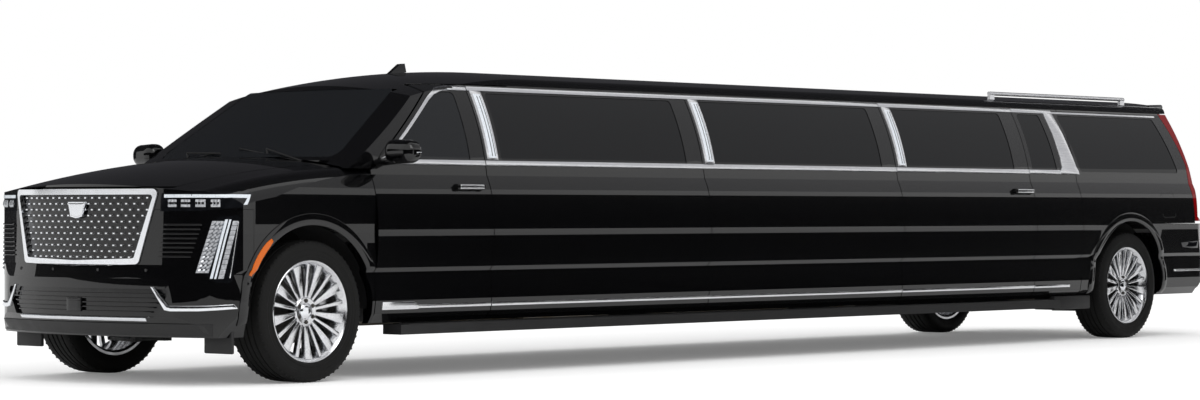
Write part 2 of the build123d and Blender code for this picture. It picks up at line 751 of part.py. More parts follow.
lamp_points = [
    (rear_x - 20.0, TAIL_LAMP_FOOT_Z),
    (rear_x - 20.0, DOOR_TOP_Z - half_gap),
    *[(behind(d) - half_gap, z) for d, z in LAMP_FRONT],
    (behind(9985.0) - half_gap, TAIL_LAMP_FOOT_Z),
]
lamp_points[2] = (lamp_points[2][0], DOOR_TOP_Z - half_gap)
del lamp_points[-2]
with BuildPart() as tail_lamp:
    add(cabin_shell)
    add(prism_xz(lamp_points, TAILGATE_Y + SHUT_GAP, 1100.0), mode=Mode.INTERSECT)
write("tail_lamps", both_sides(tail_lamp.part))

rear_arches = both_sides(rear_arch)
with BuildPart() as rear_bumper:
    add(cabin_outer)
    add(section_block([(y - SKIN, z - 20, b) for y, z, b in INNER_SIDE], INNER_ROOF_Z, rear_x + 60, axle_r + 300)
        - tail_cutter(SKIN), mode=Mode.SUBTRACT)
    add(box(rear_x - 20.0, axle_r - BUMPER_FRONT - half_gap, -1100, 1100, 300, BUMPER_TOP_Z), mode=Mode.INTERSECT)
    add(rear_arches, mode=Mode.SUBTRACT)
    add(box(rear_x - 20.0, rear_x + 400.0, -56, 56, 300, 486), mode=Mode.SUBTRACT)
write("rear_bumper", rear_bumper.part)
print("tail done")

# ---- wheels ------------------------------------------------------------------
KINGPIN_Y = 770.0
HUB_PIN_RADIUS = 30.0
RUN_CLEARANCE = 0.05
RIM_FACE_Y = wheel_y + 132.0       # outer face of the spokes
SPOKE_GROUPS = 6
SPOKE_SPREAD = (-17.0, 0.0, 17.0)
HUB_RADIUS = 86.0
HUB_DEPTH = 40.0
LUG_CIRCLE = 57.0
DISC_RADIUS = 190.0
DISC_IN_Y = 808.0
DISC_THICKNESS = 30.0
# Tyre half section: radius, distance from the wheel's middle plane.
TYRE_SECTION = ((RIM_RADIUS - 8, 118.0), (RIM_RADIUS + 10, 136.0), (360.0, 142.5), (398.0, 136.0), (415.0, 112.0),
                (TYRE_RADIUS, 0.0))
# Rim barrel section: radius, distance from the middle plane (outer side is +).
RIM_SECTION = ((RIM_RADIUS - 9, 134.0), (RIM_RADIUS - 9, 112.0), (292.0, 88.0), (292.0, -100.0), (RIM_RADIUS - 9, -118.0),
               (RIM_RADIUS - 9, -134.0), (298.0, -134.0), (280.0, -100.0), (280.0, 88.0), (294.0, 134.0))


def wheel_plane(x):
    """A wheel's own plane: its first axis is the wheel's axle, pointing outboard."""
    return Plane(origin=(x, wheel_y, TYRE_RADIUS), x_dir=(0, 1, 0), z_dir=(1, 0, 0))


def turned_about_axle(section, x):
    plane = wheel_plane(x)
    with BuildPart() as ring:
        with BuildSketch(plane):
            with BuildLine():
                Polyline(*[(across, radius) for radius, across in section], close=True)
            make_face()
        revolve(axis=Axis((x, wheel_y, TYRE_RADIUS), (0, 1, 0)))
    return ring.part


def make_tyre(x):
    outer = list(TYRE_SECTION)
    mirrored = [(radius, -across) for radius, across in reversed(outer[:-1])]
    return turned_about_axle(outer + mirrored, x)


def make_rim(x):
    barrel = turned_about_axle(RIM_SECTION, x)
    face = Plane(origin=(x, RIM_FACE_Y, TYRE_RADIUS), x_dir=(1, 0, 0), z_dir=(0, 1, 0))
    hub_plane = Plane(origin=(x, RIM_FACE_Y - 14.0, TYRE_RADIUS), x_dir=(1, 0, 0), z_dir=(0, 1, 0))
    with BuildPart() as rim:
        add(barrel)
        with BuildSketch(face):
            for spread in SPOKE_SPREAD:
                with PolarLocations(174.0, SPOKE_GROUPS, start_angle=90.0 + spread):
                    Rectangle(232.0, 20.0)
        extrude(amount=-34.0)
        with BuildSketch(hub_plane):
            Circle(HUB_RADIUS)
        extrude(amount=-HUB_DEPTH)
        with BuildSketch(hub_plane.offset(-HUB_DEPTH + 0.0)):
            Circle(62.0)
        extrude(amount=-(RIM_FACE_Y - 14.0 - HUB_DEPTH - DISC_IN_Y - DISC_THICKNESS))
        with BuildSketch(hub_plane.offset(-20.0)):
            Circle(HUB_PIN_RADIUS + RUN_CLEARANCE)
        extrude(amount=-200.0, mode=Mode.SUBTRACT)
    return rim.part


def make_disc(x):
    plane = Plane(origin=(x, DISC_IN_Y, TYRE_RADIUS), x_dir=(1, 0, 0), z_dir=(0, 1, 0))
    with BuildPart() as disc:
        with BuildSketch(plane):
            Circle(DISC_RADIUS)
            Circle(HUB_PIN_RADIUS + RUN_CLEARANCE, mode=Mode.SUBTRACT)
        extrude(amount=DISC_THICKNESS)
    return disc.part


UPRIGHT_IN_Y = KINGPIN_Y - 34.0
KNUCKLE_LOW, KNUCKLE_HIGH = TYRE_RADIUS - 185.0, TYRE_RADIUS + 185.0


def make_knuckle(x, front):
    pin_plane = Plane(origin=(x, DISC_IN_Y - 7.0, TYRE_RADIUS), x_dir=(1, 0, 0), z_dir=(0, 1, 0))
    with BuildPart() as knuckle:
        add(box(x - 45, x + 45, UPRIGHT_IN_Y, DISC_IN_Y - 7.0, TYRE_RADIUS - 110, TYRE_RADIUS + 110))
        if front:
            with BuildSketch(Plane.XY.offset(KNUCKLE_LOW)):
                with Locations((x, KINGPIN_Y)):
                    Circle(26.0)
            extrude(amount=KNUCKLE_HIGH - KNUCKLE_LOW)
        with BuildSketch(pin_plane):
            Circle(HUB_PIN_RADIUS)
        extrude(amount=RIM_FACE_Y - 14.0 - 26.0 - (DISC_IN_Y - 7.0))
    return knuckle.part


for end, x in (("front", axle_f), ("rear", axle_r)):
    for piece, make in (("tyre", make_tyre), ("rim", make_rim), ("brake_disc", make_disc)):
        left = make(x)
        write(f"{piece}_{end}_left", left)
        write(f"{piece}_{end}_right", mirror(left, about=Plane.XZ))
knuckle = make_knuckle(axle_f, True)
write("steering_knuckle_left", knuckle)
write("steering_knuckle_right", mirror(knuckle, about=Plane.XZ))
write("rear_hub_carriers", both_sides(make_knuckle(axle_r, False)))
print("wheels done")

# ---- frame, floor and running gear -------------------------------------------
RAIL_IN_Y, RAIL_OUT_Y = 365.0, 445.0
# Rails in side view: distance ahead of the front axle, underside z, height.
RAIL_STATIONS = ((790.0, 470.0), (560.0, 520.0), (-480.0, 520.0), (-900.0, 322.0), (-8080.0, 322.0), (-8460.0, 520.0),
                 (-9560.0, 520.0), (-9740.0, 450.0), (-10190.0, 450.0))
RAIL_HEIGHT = 118.0
CROSS_MEMBERS = (-1320.0, -2350.0, -3450.0, -4550.0, -5650.0, -6750.0, -7850.0)
CROSS_WIDTH, CROSS_HEIGHT = 70.0, 62.0
JACK_PADS = (1200.0, 7500.0)
JACK_PAD = (120.0, 60.0)
JACK_PAD_DEPTH = 12.0
SPLICE_FRONT, SPLICE_REAR = 905.0, 8075.0
rail_points = [(axle_f + x, z) for x, z in RAIL_STATIONS]
rail_points += [(x, z + RAIL_HEIGHT) for x, z in reversed(rail_points)]
rail = prism_xz(rail_points, RAIL_IN_Y, RAIL_OUT_Y)
with BuildPart() as whole_frame:
    add(both_sides(rail))
    for x in CROSS_MEMBERS:
        top = 322.0 + RAIL_HEIGHT
        add(box(axle_f + x, axle_f + x + CROSS_WIDTH, -RAIL_IN_Y, RAIL_IN_Y, top - CROSS_HEIGHT, top))
    add(box(axle_f + 700, axle_f + 780, -620, 620, 490, 590))
    add(box(axle_r - 1160, axle_r - 1090, -620, 620, 460, 560))
    add(box(axle_f - 40, axle_f + 40, -RAIL_IN_Y, RAIL_IN_Y, 400, 462))
    add(both_sides(box(axle_f - 40, axle_f + 40, 336, RAIL_IN_Y + 4, 400, 560)))
    add(box(axle_r + 330, axle_r + 400, -RAIL_IN_Y, RAIL_IN_Y, 560, 630))
    add(box(axle_r - 400, axle_r - 330, -RAIL_IN_Y, RAIL_IN_Y, 560, 630))
    for distance in JACK_PADS:
        for side in (1, -1):
            with Locations((behind(distance), side * (RAIL_IN_Y + RAIL_OUT_Y) / 2, 322.0 - JACK_PAD_DEPTH / 2)):
                Box(*JACK_PAD, JACK_PAD_DEPTH)
# The long middle is spliced to the stock front and rear sections.
splices = (rear_x, behind(SPLICE_REAR), behind(SPLICE_FRONT), front_x)
frame_sections = [
    whole_frame.part & box(start, end, -700, 700, 200, 800) for start, end in zip(splices, splices[1:])
]
write("chassis_frame", solids_of(*frame_sections))
# receiver tube for a hitch bar, under the rear cross member
with BuildPart() as hitch_receiver:
    add(box(axle_r - 1250, axle_r - 1090, -38, 38, 380, 460))
    add(box(axle_r - 1260, axle_r - 1160, -25.5, 25.5, 395, 446), mode=Mode.SUBTRACT)
write("hitch_receiver", hitch_receiver.part)

FLOOR_HALF_Y = 888.0
# Floor in side view: distance ahead of the front axle, upper surface z.
FLOOR_STATIONS = ((-400.0, 1190.0), (-420.0, 700.0), (-560.0, 668.0), (-930.0, 474.0), (-8060.0, 474.0), (-8420.0, 672.0),
                  (-9960.0, 672.0))
floor_points = [(axle_f + x, z) for x, z in FLOOR_STATIONS]
floor_points += [(x, z - FLOOR_THICKNESS) for x, z in reversed(floor_points)]
floor_points[-1] = (floor_points[-1][0] + 20.0, 1190.0)
floor_points[-2] = (floor_points[-2][0] + 20.0, 686.0)
wheel_room = both_sides(arch_cylinder(axle_r, ARCH_RADIUS + 10, 640, 1100))
front_room = both_sides(box(behind(540.0), front_x, 500, 1100, 0, 940))
tail_room = both_sides(box(rear_x, axle_r + 530, 842, 1100, 0, 1000))
with BuildPart() as floor_pan:
    add(prism_xz(floor_points, -FLOOR_HALF_Y, FLOOR_HALF_Y))
    add(wheel_room, mode=Mode.SUBTRACT)
    add(front_room, mode=Mode.SUBTRACT)
    add(tail_room, mode=Mode.SUBTRACT)
write("floor_pan", floor_pan.part)

engine = box(behind(340.0), axle_f + 380.0, -330, 330, 480, 1080)
write("engine_block", engine)
write("driveline", solids_of(
    prism_yz([(-150, 250), (150, 250), (150, 440), (-150, 440)], behind(1180.0), behind(350.0)),
    bar((behind(1186.0), 0, 330), (axle_r + 190, 0, 330), 38.0),
    box(axle_r - 170, axle_r + 180, -170, 170, 270, 500),
    bar((axle_r, 176, TYRE_RADIUS), (axle_r, UPRIGHT_IN_Y - 6, TYRE_RADIUS), 26.0),
    bar((axle_r, -176, TYRE_RADIUS), (axle_r, -UPRIGHT_IN_Y + 6, TYRE_RADIUS), 26.0),
))
EXHAUST_Y = 235.0
write("exhaust", solids_of(
    bar((behind(700.0), EXHAUST_Y, 320), (axle_r - 480, EXHAUST_Y, 320), 33.0),
    box(behind(3300.0), behind(2600.0), EXHAUST_Y - 95, EXHAUST_Y + 95, 240, 366),
    box(axle_r - 1075, axle_r - 490, -330, 330, 280, 430),
))
write("fuel_tank", box(behind(7500.0), behind(6100.0), 462, 850, 268, 440))
ARM_LOW_Z, ARM_HIGH_Z = KNUCKLE_LOW - 26.0, KNUCKLE_HIGH + 6.0


def control_arm(x, z, thick, root_y, root_z):
    """An A-shaped arm from the frame to the ball joint over or under a wheel carrier."""
    with BuildPart() as arm:
        with BuildSketch(Plane.XY.offset(z)):
            with BuildLine():
                Polyline((x - 150, root_y), (x - 24, KINGPIN_Y), (x + 24, KINGPIN_Y),
                         (x + 150, root_y), (x + 90, root_y), (x, KINGPIN_Y - 100),
                         (x - 90, root_y), close=True)
            make_face()
            with Locations((x, KINGPIN_Y)):
                Circle(30.0)
        extrude(amount=thick)
        if root_z:
            for dx in (-120, 120):
                add(box(x + dx - 28, x + dx + 28, RAIL_OUT_Y - 60, RAIL_OUT_Y - 12, z, root_z))
    return arm.part


arms = []
for x in (axle_f, axle_r):
    arms.append(control_arm(x, ARM_LOW_Z, 20.0, RAIL_OUT_Y - 40, 520.0))
    arms.append(control_arm(x, ARM_HIGH_Z, 20.0, RAIL_OUT_Y, 0.0))
rack = box(axle_f - 215, axle_f - 160, -470, 470, 380, 430)
write("suspension_arms", solids_of(*[both_sides(arm) for arm in arms], rack))

BOARD_FRONT, BOARD_REAR = 724.0, 7980.0
board = box(behind(BOARD_REAR), behind(BOARD_FRONT), 880, 1034, 262, 322)
brackets = [box(axle_f + x - 60, axle_f + x, 380, 882, 300, 322) for x in (-1400, -3400, -5400, -7700)]
with BuildPart() as running_board:
    add(board)
    for bracket in brackets:
        add(bracket)
write("running_boards", both_sides(running_board.part))
print("frame done")

# ---- roof trim ---------------------------------------------------------------
RAIL_Y, ROOF_RAIL_Z = 668.0, 1884.0
with BuildPart() as roof_rail:
    add(bar((behind(7540.0), RAIL_Y, ROOF_RAIL_Z + 26), (behind(9465.0), RAIL_Y, ROOF_RAIL_Z + 26), 15.0))
    for distance in (7570.0, 9435.0):
        add(box(behind(distance) - 30, behind(distance) + 30, RAIL_Y - 12, RAIL_Y + 12, ROOF_RAIL_Z - 20, ROOF_RAIL_Z + 24))
write("roof_rails", both_sides(roof_rail.part - cabin_outer))
fin = [(behind(1640.0), ROOF_Z - 40), (behind(1760.0), ROOF_Z + 42), (behind(1800.0), ROOF_Z + 46),
       (behind(1815.0), ROOF_Z - 10)]
with BuildPart() as antenna:
    add(prism_xz(fin, -16, 16))
write("roof_antenna", antenna.part - cabin_outer)

# ---- mirrors -----------------------------------------------------------------
MIRROR_HOUSING = ((behind(500.0), 1306.0), (behind(500.0), 1400.0), (behind(560.0), 1440.0), (behind(820.0), 1436.0),
                  (behind(842.0), 1404.0), (behind(836.0), 1318.0), (behind(800.0), 1300.0))
with BuildPart() as mirror_left:
    add(prism_xy([(behind(545.0), 1090), (behind(560.0), 1240), (behind(640.0), 1262), (behind(700.0), 1250),
                  (behind(700.0), 1060), (behind(640.0), 1040)], 1306, 1436))
    add(prism_xy([(behind(600.0), 960), (behind(590.0), 1100), (behind(690.0), 1100), (behind(690.0), 960)], 1268, 1310))
mirror_part = mirror_left.part - cabin_outer
write("mirror_left", mirror_part)
write("mirror_right", mirror(mirror_part, about=Plane.XZ))

# ---- interior ----------------------------------------------------------------
dash_points = [(behind(440.0), 1180.0), (behind(440.0), 1240.0), (behind(800.0), 1190.0), (behind(900.0), 1100.0),
               (behind(900.0), 860.0), (behind(700.0), 800.0)]
dash = prism_xz(dash_points, -764, 764)
dash = dash + (prism_xz(dash_points, -840, 840) & box(behind(1000.0), behind(532.0), -900, 900, 700, 1300))
console = box(behind(1600.0), behind(945.0), -150, 150, 476, 820)
WHEEL_Y = 400.0
column_start, column_end = (behind(902.0), WHEEL_Y, 1030.0), (behind(1020.0), WHEEL_Y, 1085.0)
steer_dir = (Vector(*column_end) - Vector(*column_start)).normalized()
steer_plane = Plane(origin=column_end, z_dir=steer_dir)
column = bar(tuple(Vector(*column_start) - steer_dir * 60), tuple(Vector(*column_end) - steer_dir * 6), 34.0)
write("dashboard", solids_of(dash + column, console))
with BuildPart() as steering_wheel:
    with BuildSketch(steer_plane):
        Circle(190.0)
        Circle(162.0, mode=Mode.SUBTRACT)
        Rectangle(350.0, 36.0)
        Circle(62.0)
    extrude(amount=26.0)
write("steering_wheel", steering_wheel.part)
print("steering wheel centre", column_end, tuple(steer_dir))


def seat(x, y_from, y_to, back_lean, back_x):
    cushion = box(x, x + 520, y_from, y_to, 700, 850)
    back = prism_xz([(x + 10, 856), (x - back_lean, 1400), (x - back_lean - 110, 1400), (x - 130, 856)], y_from, y_to)
    base = box(x + 40, x + 460, y_from + 60, y_to - 60, 476, 696)
    return [cushion, back, base]


FRONT_SEAT_X = behind(1640.0)
front = seat(FRONT_SEAT_X, 170, 720, 110, 0) + seat(FRONT_SEAT_X, -720, -170, 110, 0)
write("front_seats", solids_of(*front))
PARTITION = 2040.0
partition = box(behind(PARTITION + 40), behind(PARTITION), -705, 705, 480, 1740)
lounge_side = [box(behind(5800.0), behind(2300.0), -880, -380, 476, 850)]
lounge_side += [box(behind(5800.0), behind(2300.0), -880, -760, 856, 1220)]
lounge_rear = [box(behind(8000.0), behind(7480.0), -700, 700, 476, 850)]
lounge_rear += [box(behind(8120.0), behind(8006.0), -700, 700, 700, 1350)]
bar_side = [box(behind(5700.0), behind(2300.0), 560, 880, 476, 1000)]
write("lounge_seats", solids_of(*lounge_side, *lounge_rear))
write("partition_and_bar", solids_of(partition, *bar_side))
print(len(written), "nodes")
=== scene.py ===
import bpy
import bmesh
import json
import math
from mathutils import Matrix, Vector
from mathutils.bvhtree import BVHTree


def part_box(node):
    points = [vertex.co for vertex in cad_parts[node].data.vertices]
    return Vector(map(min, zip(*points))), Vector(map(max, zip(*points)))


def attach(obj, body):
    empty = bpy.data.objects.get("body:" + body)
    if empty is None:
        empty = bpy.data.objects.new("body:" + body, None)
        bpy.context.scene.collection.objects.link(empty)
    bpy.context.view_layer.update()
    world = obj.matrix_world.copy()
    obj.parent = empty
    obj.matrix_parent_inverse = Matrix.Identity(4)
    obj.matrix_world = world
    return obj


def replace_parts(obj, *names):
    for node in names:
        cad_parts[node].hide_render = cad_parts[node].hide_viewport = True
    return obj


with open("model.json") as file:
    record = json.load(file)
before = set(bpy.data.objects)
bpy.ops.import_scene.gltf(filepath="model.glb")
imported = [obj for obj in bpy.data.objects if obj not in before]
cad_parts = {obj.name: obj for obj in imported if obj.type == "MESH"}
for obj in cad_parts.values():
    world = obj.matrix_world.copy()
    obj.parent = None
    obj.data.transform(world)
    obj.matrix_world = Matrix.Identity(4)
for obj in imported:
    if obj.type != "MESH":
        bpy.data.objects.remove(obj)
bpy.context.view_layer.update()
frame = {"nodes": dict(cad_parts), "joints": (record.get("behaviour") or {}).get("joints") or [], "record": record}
nodes = frame["nodes"]
print("frame loaded:", len(nodes), "nodes")

# places shared by several pieces, metres, read from the frame
wheelCentre = {j["child"]: Vector(j["pos_m"]) for j in frame["joints"] if j["name"].endswith("_spin")}
frontAxle = wheelCentre["wheel_front_left"]
rearAxle = wheelCentre["wheel_rear_left"]
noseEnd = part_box("front_bumper")[1][0]
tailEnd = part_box("rear_bumper")[0][0]
frontDoor = (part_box("front_door_left")[1][0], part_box("front_door_left")[0][0])
rearDoor = (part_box("rear_door_left")[1][0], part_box("rear_door_left")[0][0])
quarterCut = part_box("quarter_panels")[1][0]
middleCut = frontAxle.x - 3.712
trimEdge = 0.003    # rounding of most trim
sheetSunk = 0.003   # how far laid strips reach under the surface
seam = 0.00002      # points closer than this are joined


def between(span, share):
    return span[0] + (span[1] - span[0]) * share


def spread(start, stop, count):
    # places at even steps, both ends among them
    return [start + (stop - start) * i / count for i in range(count + 1)]


def linear(hexCode):
    channels = [int(hexCode[i:i + 2], 16) / 255 for i in (0, 2, 4)]
    return (*[c / 12.92 if c <= 0.04045 else ((c + 0.055) / 1.055) ** 2.4 for c in channels], 1)


def addNode(tree, kind, settings=None, links=None):
    made = tree.nodes.new("ShaderNode" + kind)
    for key, value in (settings or {}).items():
        if key == "stops":  # a colour ramp's places and colours
            ramp = made.color_ramp.elements
            while len(ramp) < len(value):
                ramp.new(0.5)
            for element, (place, hexCode) in zip(ramp, value):
                element.position = place
                element.color = linear(hexCode)
        elif isinstance(key, int) or key in made.inputs:
            made.inputs[key].default_value = value
        else:
            setattr(made, key, value)
    for key, source in (links or {}).items():
        tree.links.new(source, made.inputs[key])
    return made


def startMaterial(name):
    material = bpy.data.materials.new(name)
    material.use_nodes = True
    material.node_tree.nodes.clear()
    return material, material.node_tree


def makeFinish(name, recipe):
    # grain and cloud are sizes in millimetres, depth the height of the grain in millimetres
    material, tree = startMaterial(name)
    place = addNode(tree, "TexCoord").outputs["Object"]
    if "stretch" in recipe:
        place = addNode(tree, "Mapping", {"Scale": recipe["stretch"]}, {"Vector": place}).outputs["Vector"]
    grainKind = recipe.get("pattern", "TexNoise")
    grain = addNode(tree, grainKind, {"Scale": 1000 / recipe["grain"]}, {"Vector": place})
    height = grain.outputs["Distance" if grainKind == "TexVoronoi" else "Fac"]
    bump = addNode(tree, "Bump", {"Strength": 1.0, "Distance": recipe["depth"] / 1000}, {"Height": height})
    cloud = addNode(tree, "TexNoise", {"Scale": 1000 / recipe["cloud"], "Detail": 3.0}, {"Vector": place})
    low, high = recipe["colours"]
    colour = addNode(tree, "ValToRGB", {"stops": [(0.35, low), (0.68, high)]}, {"Fac": cloud.outputs["Fac"]})
    smooth, dull = recipe["roughness"]
    rough = addNode(tree, "MapRange", {"From Min": 0.3, "From Max": 0.7, "To Min": smooth, "To Max": dull},
                    {"Value": cloud.outputs["Fac"]})
    shader = addNode(tree, "BsdfPrincipled", recipe.get("surface", {}),
                     {"Base Color": colour.outputs["Color"], "Roughness": rough.outputs["Result"],
                      recipe.get("bumps", "Normal"): bump.outputs["Normal"]})
    addNode(tree, "OutputMaterial", links={"Surface": shader.outputs[0]})
    return material


# sprayed black basecoat under a clear coat: deep black with a hard, wet gloss and faint orange peel
blackPaint = makeFinish("blackBasecoatClearcoat", {
    "grain": 7.0, "depth": 0.004, "bumps": "Coat Normal", "cloud": 2.0, "colours": ("020203", "040405"),
    "roughness": (0.35, 0.45),
    "surface": {"IOR": 1.45, "Specular IOR Level": 0.04, "Coat Weight": 1.0,
                "Coat Roughness": 0.01, "Coat IOR": 1.5},
})
# rolled and polished stainless strip: a clear mirror with faint lengthwise polishing marks
brightTrim = makeFinish("polishedStainless", {
    "stretch": (0.02, 1.0, 1.0), "grain": 1.5, "depth": 0.002, "cloud": 6.0, "colours": ("dfe0e3", "ececee"),
    "roughness": (0.18, 0.28), "surface": {"Metallic": 1.0},
})
# chrome plate on moulded plastic: a brighter, bluer mirror than steel, with a slight wave from the mould
chromePlate = makeFinish("chromePlatedAbs", {
    "grain": 18.0, "depth": 0.01, "cloud": 40.0, "colours": ("e6e8ec", "eff1f4"),
    "roughness": (0.10, 0.18), "surface": {"Metallic": 1.0},
})
# moulded black polypropylene with a fine leathery grain: dull and slightly grey, as on sills and valances
grainedPlastic = makeFinish("grainedBlackPolypropylene", {
    "pattern": "TexVoronoi", "grain": 2.4, "depth": 0.12, "cloud": 90.0, "colours": ("121213", "19191a"),
    "roughness": (0.5, 0.6), "surface": {"IOR": 1.49},
})
# black ABS from a polished mould: piano gloss round the grille, lamps and windows
glossPlastic = makeFinish("glossBlackAbs", {
    "grain": 16.0, "depth": 0.006, "cloud": 60.0, "colours": ("050506", "08080a"),
    "roughness": (0.08, 0.14), "surface": {"IOR": 1.5},
})
# carbon-filled tyre rubber: matt and near black, browner where it has dried
tyreRubber = makeFinish("tyreRubber", {
    "grain": 1.6, "depth": 0.08, "cloud": 60.0, "colours": ("0d0d0d", "131312"),
    "roughness": (0.62, 0.78), "surface": {"IOR": 1.52, "Specular IOR Level": 0.2},
})
# forged aluminium wheel, machined and polished under lacquer: a soft mirror with faint cloudy polishing
polishedWheel = makeFinish("polishedForgedAluminium", {
    "grain": 3.0, "depth": 0.004, "cloud": 14.0, "colours": ("cfd0d3", "e2e3e5"),
    "roughness": (0.14, 0.26), "surface": {"Metallic": 1.0, "Coat Weight": 0.3, "Coat Roughness": 0.05},
})
# grey cast iron with a sandy skin: dull grey-brown, brighter where the pads rub
castIron = makeFinish("greyCastIron", {
    "grain": 2.0, "depth": 0.1, "cloud": 30.0, "colours": ("3c3b3a", "55524e"),
    "roughness": (0.4, 0.6), "surface": {"Metallic": 0.7},
})
# rolled frame steel dipped in black wax: uneven satin with thick and thin places
framePaint = makeFinish("waxedFrameSteel", {
    "grain": 5.0, "depth": 0.1, "cloud": 45.0, "colours": ("101011", "1b1a1a"),
    "roughness": (0.35, 0.6), "surface": {"IOR": 1.5},
})
# aluminised mild steel pipe: dull silver, straw coloured by heat in places
exhaustSteel = makeFinish("aluminisedSteel", {
    "grain": 3.0, "depth": 0.03, "cloud": 300.0, "colours": ("8f8e8c", "8a7c66"),
    "roughness": (0.35, 0.5), "surface": {"Metallic": 1.0},
})
# embossed upholstery leather: soft sheen over small pebbled cells
leather = makeFinish("embossedLeather", {
    "pattern": "TexVoronoi", "grain": 2.6, "depth": 0.2, "cloud": 80.0, "colours": ("35302c", "443e38"),
    "roughness": (0.42, 0.55), "surface": {"IOR": 1.5, "Sheen Weight": 0.15},
})
# cut-pile carpet: dark and matt, speckled by its tufts
carpet = makeFinish("cutPileCarpet", {
    "grain": 2.2, "depth": 1.2, "cloud": 3.0, "colours": ("191818", "2a2928"),
    "roughness": (0.9, 1.0), "surface": {"Sheen Weight": 0.3},
})
# slush-moulded dashboard skin: dull charcoal with an even fine grain
dashSkin = makeFinish("softTouchDashSkin", {
    "grain": 1.8, "depth": 0.08, "cloud": 120.0, "colours": ("1b1a1a", "242221"),
    "roughness": (0.58, 0.7), "surface": {"IOR": 1.48},
})
# frosted acrylic light guide: milky white, lit evenly from behind
lightGuide = makeFinish("frostedAcrylicGuide", {
    "grain": 1.2, "depth": 0.05, "cloud": 9.0, "colours": ("c6ccd3", "e2e7ec"),
    "roughness": (0.25, 0.4), "surface": {
        "IOR": 1.49, "Emission Color": linear("eef3fa"), "Emission Strength": 0.06},
})
# vacuum-metallised reflector bowl: a blurred grey mirror behind a lens
metallised = makeFinish("metallisedReflector", {
    "grain": 9.0, "depth": 0.02, "cloud": 20.0, "colours": ("9a9ca0", "c4c6ca"),
    "roughness": (0.12, 0.22), "surface": {"Metallic": 1.0},
})


def makeGlass(name, recipe):
    # see-through share and surface gloss; the tint darkens what lies behind
    material, tree = startMaterial(name)
    place = addNode(tree, "TexCoord").outputs["Object"]
    wave = addNode(tree, "TexNoise", {"Scale": 1000 / recipe["wave"], "Detail": 1.0}, {"Vector": place})
    bump = addNode(tree, "Bump", {"Strength": 1.0, "Distance": recipe["depth"] / 1000},
                   {"Height": wave.outputs["Fac"]})
    through = addNode(tree, "BsdfTransparent", {"Color": linear(recipe["tint"])})
    gloss = addNode(tree, "BsdfPrincipled",
                    {"Base Color": linear(recipe["body"]), "Roughness": recipe["roughness"],
                     "IOR": recipe["ior"]},
                    {"Normal": bump.outputs["Normal"]})
    mix = addNode(tree, "MixShader", {"Fac": recipe["solid"]}, {1: through.outputs[0], 2: gloss.outputs[0]})
    addNode(tree, "OutputMaterial", links={"Surface": mix.outputs[0]})
    return material


# toughened float glass, dipped grey almost to black: inside shapes just show, the gloss is full
privacyGlass = makeGlass("privacyTintedGlass", {
    "tint": "3a3d42", "body": "141517", "roughness": 0.015, "ior": 1.52, "solid": 0.62,
    "wave": 400.0, "depth": 0.02})
# laminated float glass with a light grey tint: the cabin can be seen through it
frontGlass = makeGlass("laminatedTintedGlass", {
    "tint": "62676c", "body": "2a2c2f", "roughness": 0.015, "ior": 1.52, "solid": 0.5,
    "wave": 500.0, "depth": 0.02})
# clear moulded polycarbonate with a hard coat: water clear over the lamp's inside
clearLens = makeGlass("clearPolycarbonate", {
    "tint": "e9edf1", "body": "c9ced4", "roughness": 0.03, "ior": 1.58, "solid": 0.18,
    "wave": 60.0, "depth": 0.01})
# red moulded acrylic: deep red, darker where it is thick
redLens = makeGlass("redAcrylic", {
    "tint": "b01218", "body": "8c0a0e", "roughness": 0.06, "ior": 1.49, "solid": 0.6,
    "wave": 25.0, "depth": 0.03})
# amber moulded acrylic over a reflector: bright orange with fine optic ribs
amberLens = makeGlass("amberAcrylic", {
    "tint": "f08a1e", "body": "e06a08", "roughness": 0.08, "ior": 1.49, "solid": 0.8,
    "wave": 6.0, "depth": 0.2})

slotMaterials = {
    "body_paint": blackPaint,
    "chrome_trim": brightTrim,
    "polished_wheel": polishedWheel,
    "black_trim": grainedPlastic,
    "gloss_black": glossPlastic,
    "tinted_glass": privacyGlass,
    "clear_glass": frontGlass,
    "lamp_lens": clearLens,
    "red_lens": redLens,
    "tyre_rubber": tyreRubber,
    "frame_steel": framePaint,
    "cast_iron": castIron,
    "exhaust_steel": exhaustSteel,
    "dash_plastic": dashSkin,
    "seat_leather": leather,
    "floor_liner": carpet,
}
for part in frame["record"]["subparts"]:
    nodeData = nodes[part["node"]].data
    nodeData.materials.clear()
    nodeData.materials.append(slotMaterials[part["material_slot"]])
nodes["grille_frame"].data.materials[0] = chromePlate
# slot that each finish of the added pieces belongs to
slotOf = {material.name: slotName for slotName, material in slotMaterials.items()}
slotOf[chromePlate.name] = "chrome_trim"
for material in (lightGuide, metallised, amberLens):
    slotOf[material.name] = "lamp_lens"
print("materials made:", len(bpy.data.materials))


def addPiece(name, builder, material, body, slotName, sharp=35):
    bmesh.ops.recalc_face_normals(builder, faces=builder.faces)
    mesh = bpy.data.meshes.new(name)
    builder.to_mesh(mesh)
    builder.free()
    mesh.materials.append(material)
    mesh.shade_smooth()
    mesh.set_sharp_from_angle(angle=math.radians(sharp))
    piece = bpy.data.objects.new(name, mesh)
    bpy.context.scene.collection.objects.link(piece)
    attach(piece, body)
    return piece


def addShape(name, shape, material, body="chassis", sharp=35):
    builder = bmesh.new()
    shape(builder)
    return addPiece(name, builder, material, body, slotOf[material.name], sharp)


def vertsIn(geometry):
    return [item for item in geometry if isinstance(item, bmesh.types.BMVert)]


def edgesOf(verts):
    return list({edge for vert in verts for edge in vert.link_edges})


def facesOf(verts):
    return list({face for vert in verts for face in vert.link_faces})


def softenEdges(builder, edges, radius, segments=2):
    bmesh.ops.bevel(builder, geom=edges, offset=radius, segments=segments, profile=0.5,
                    affect="EDGES", material=-1)


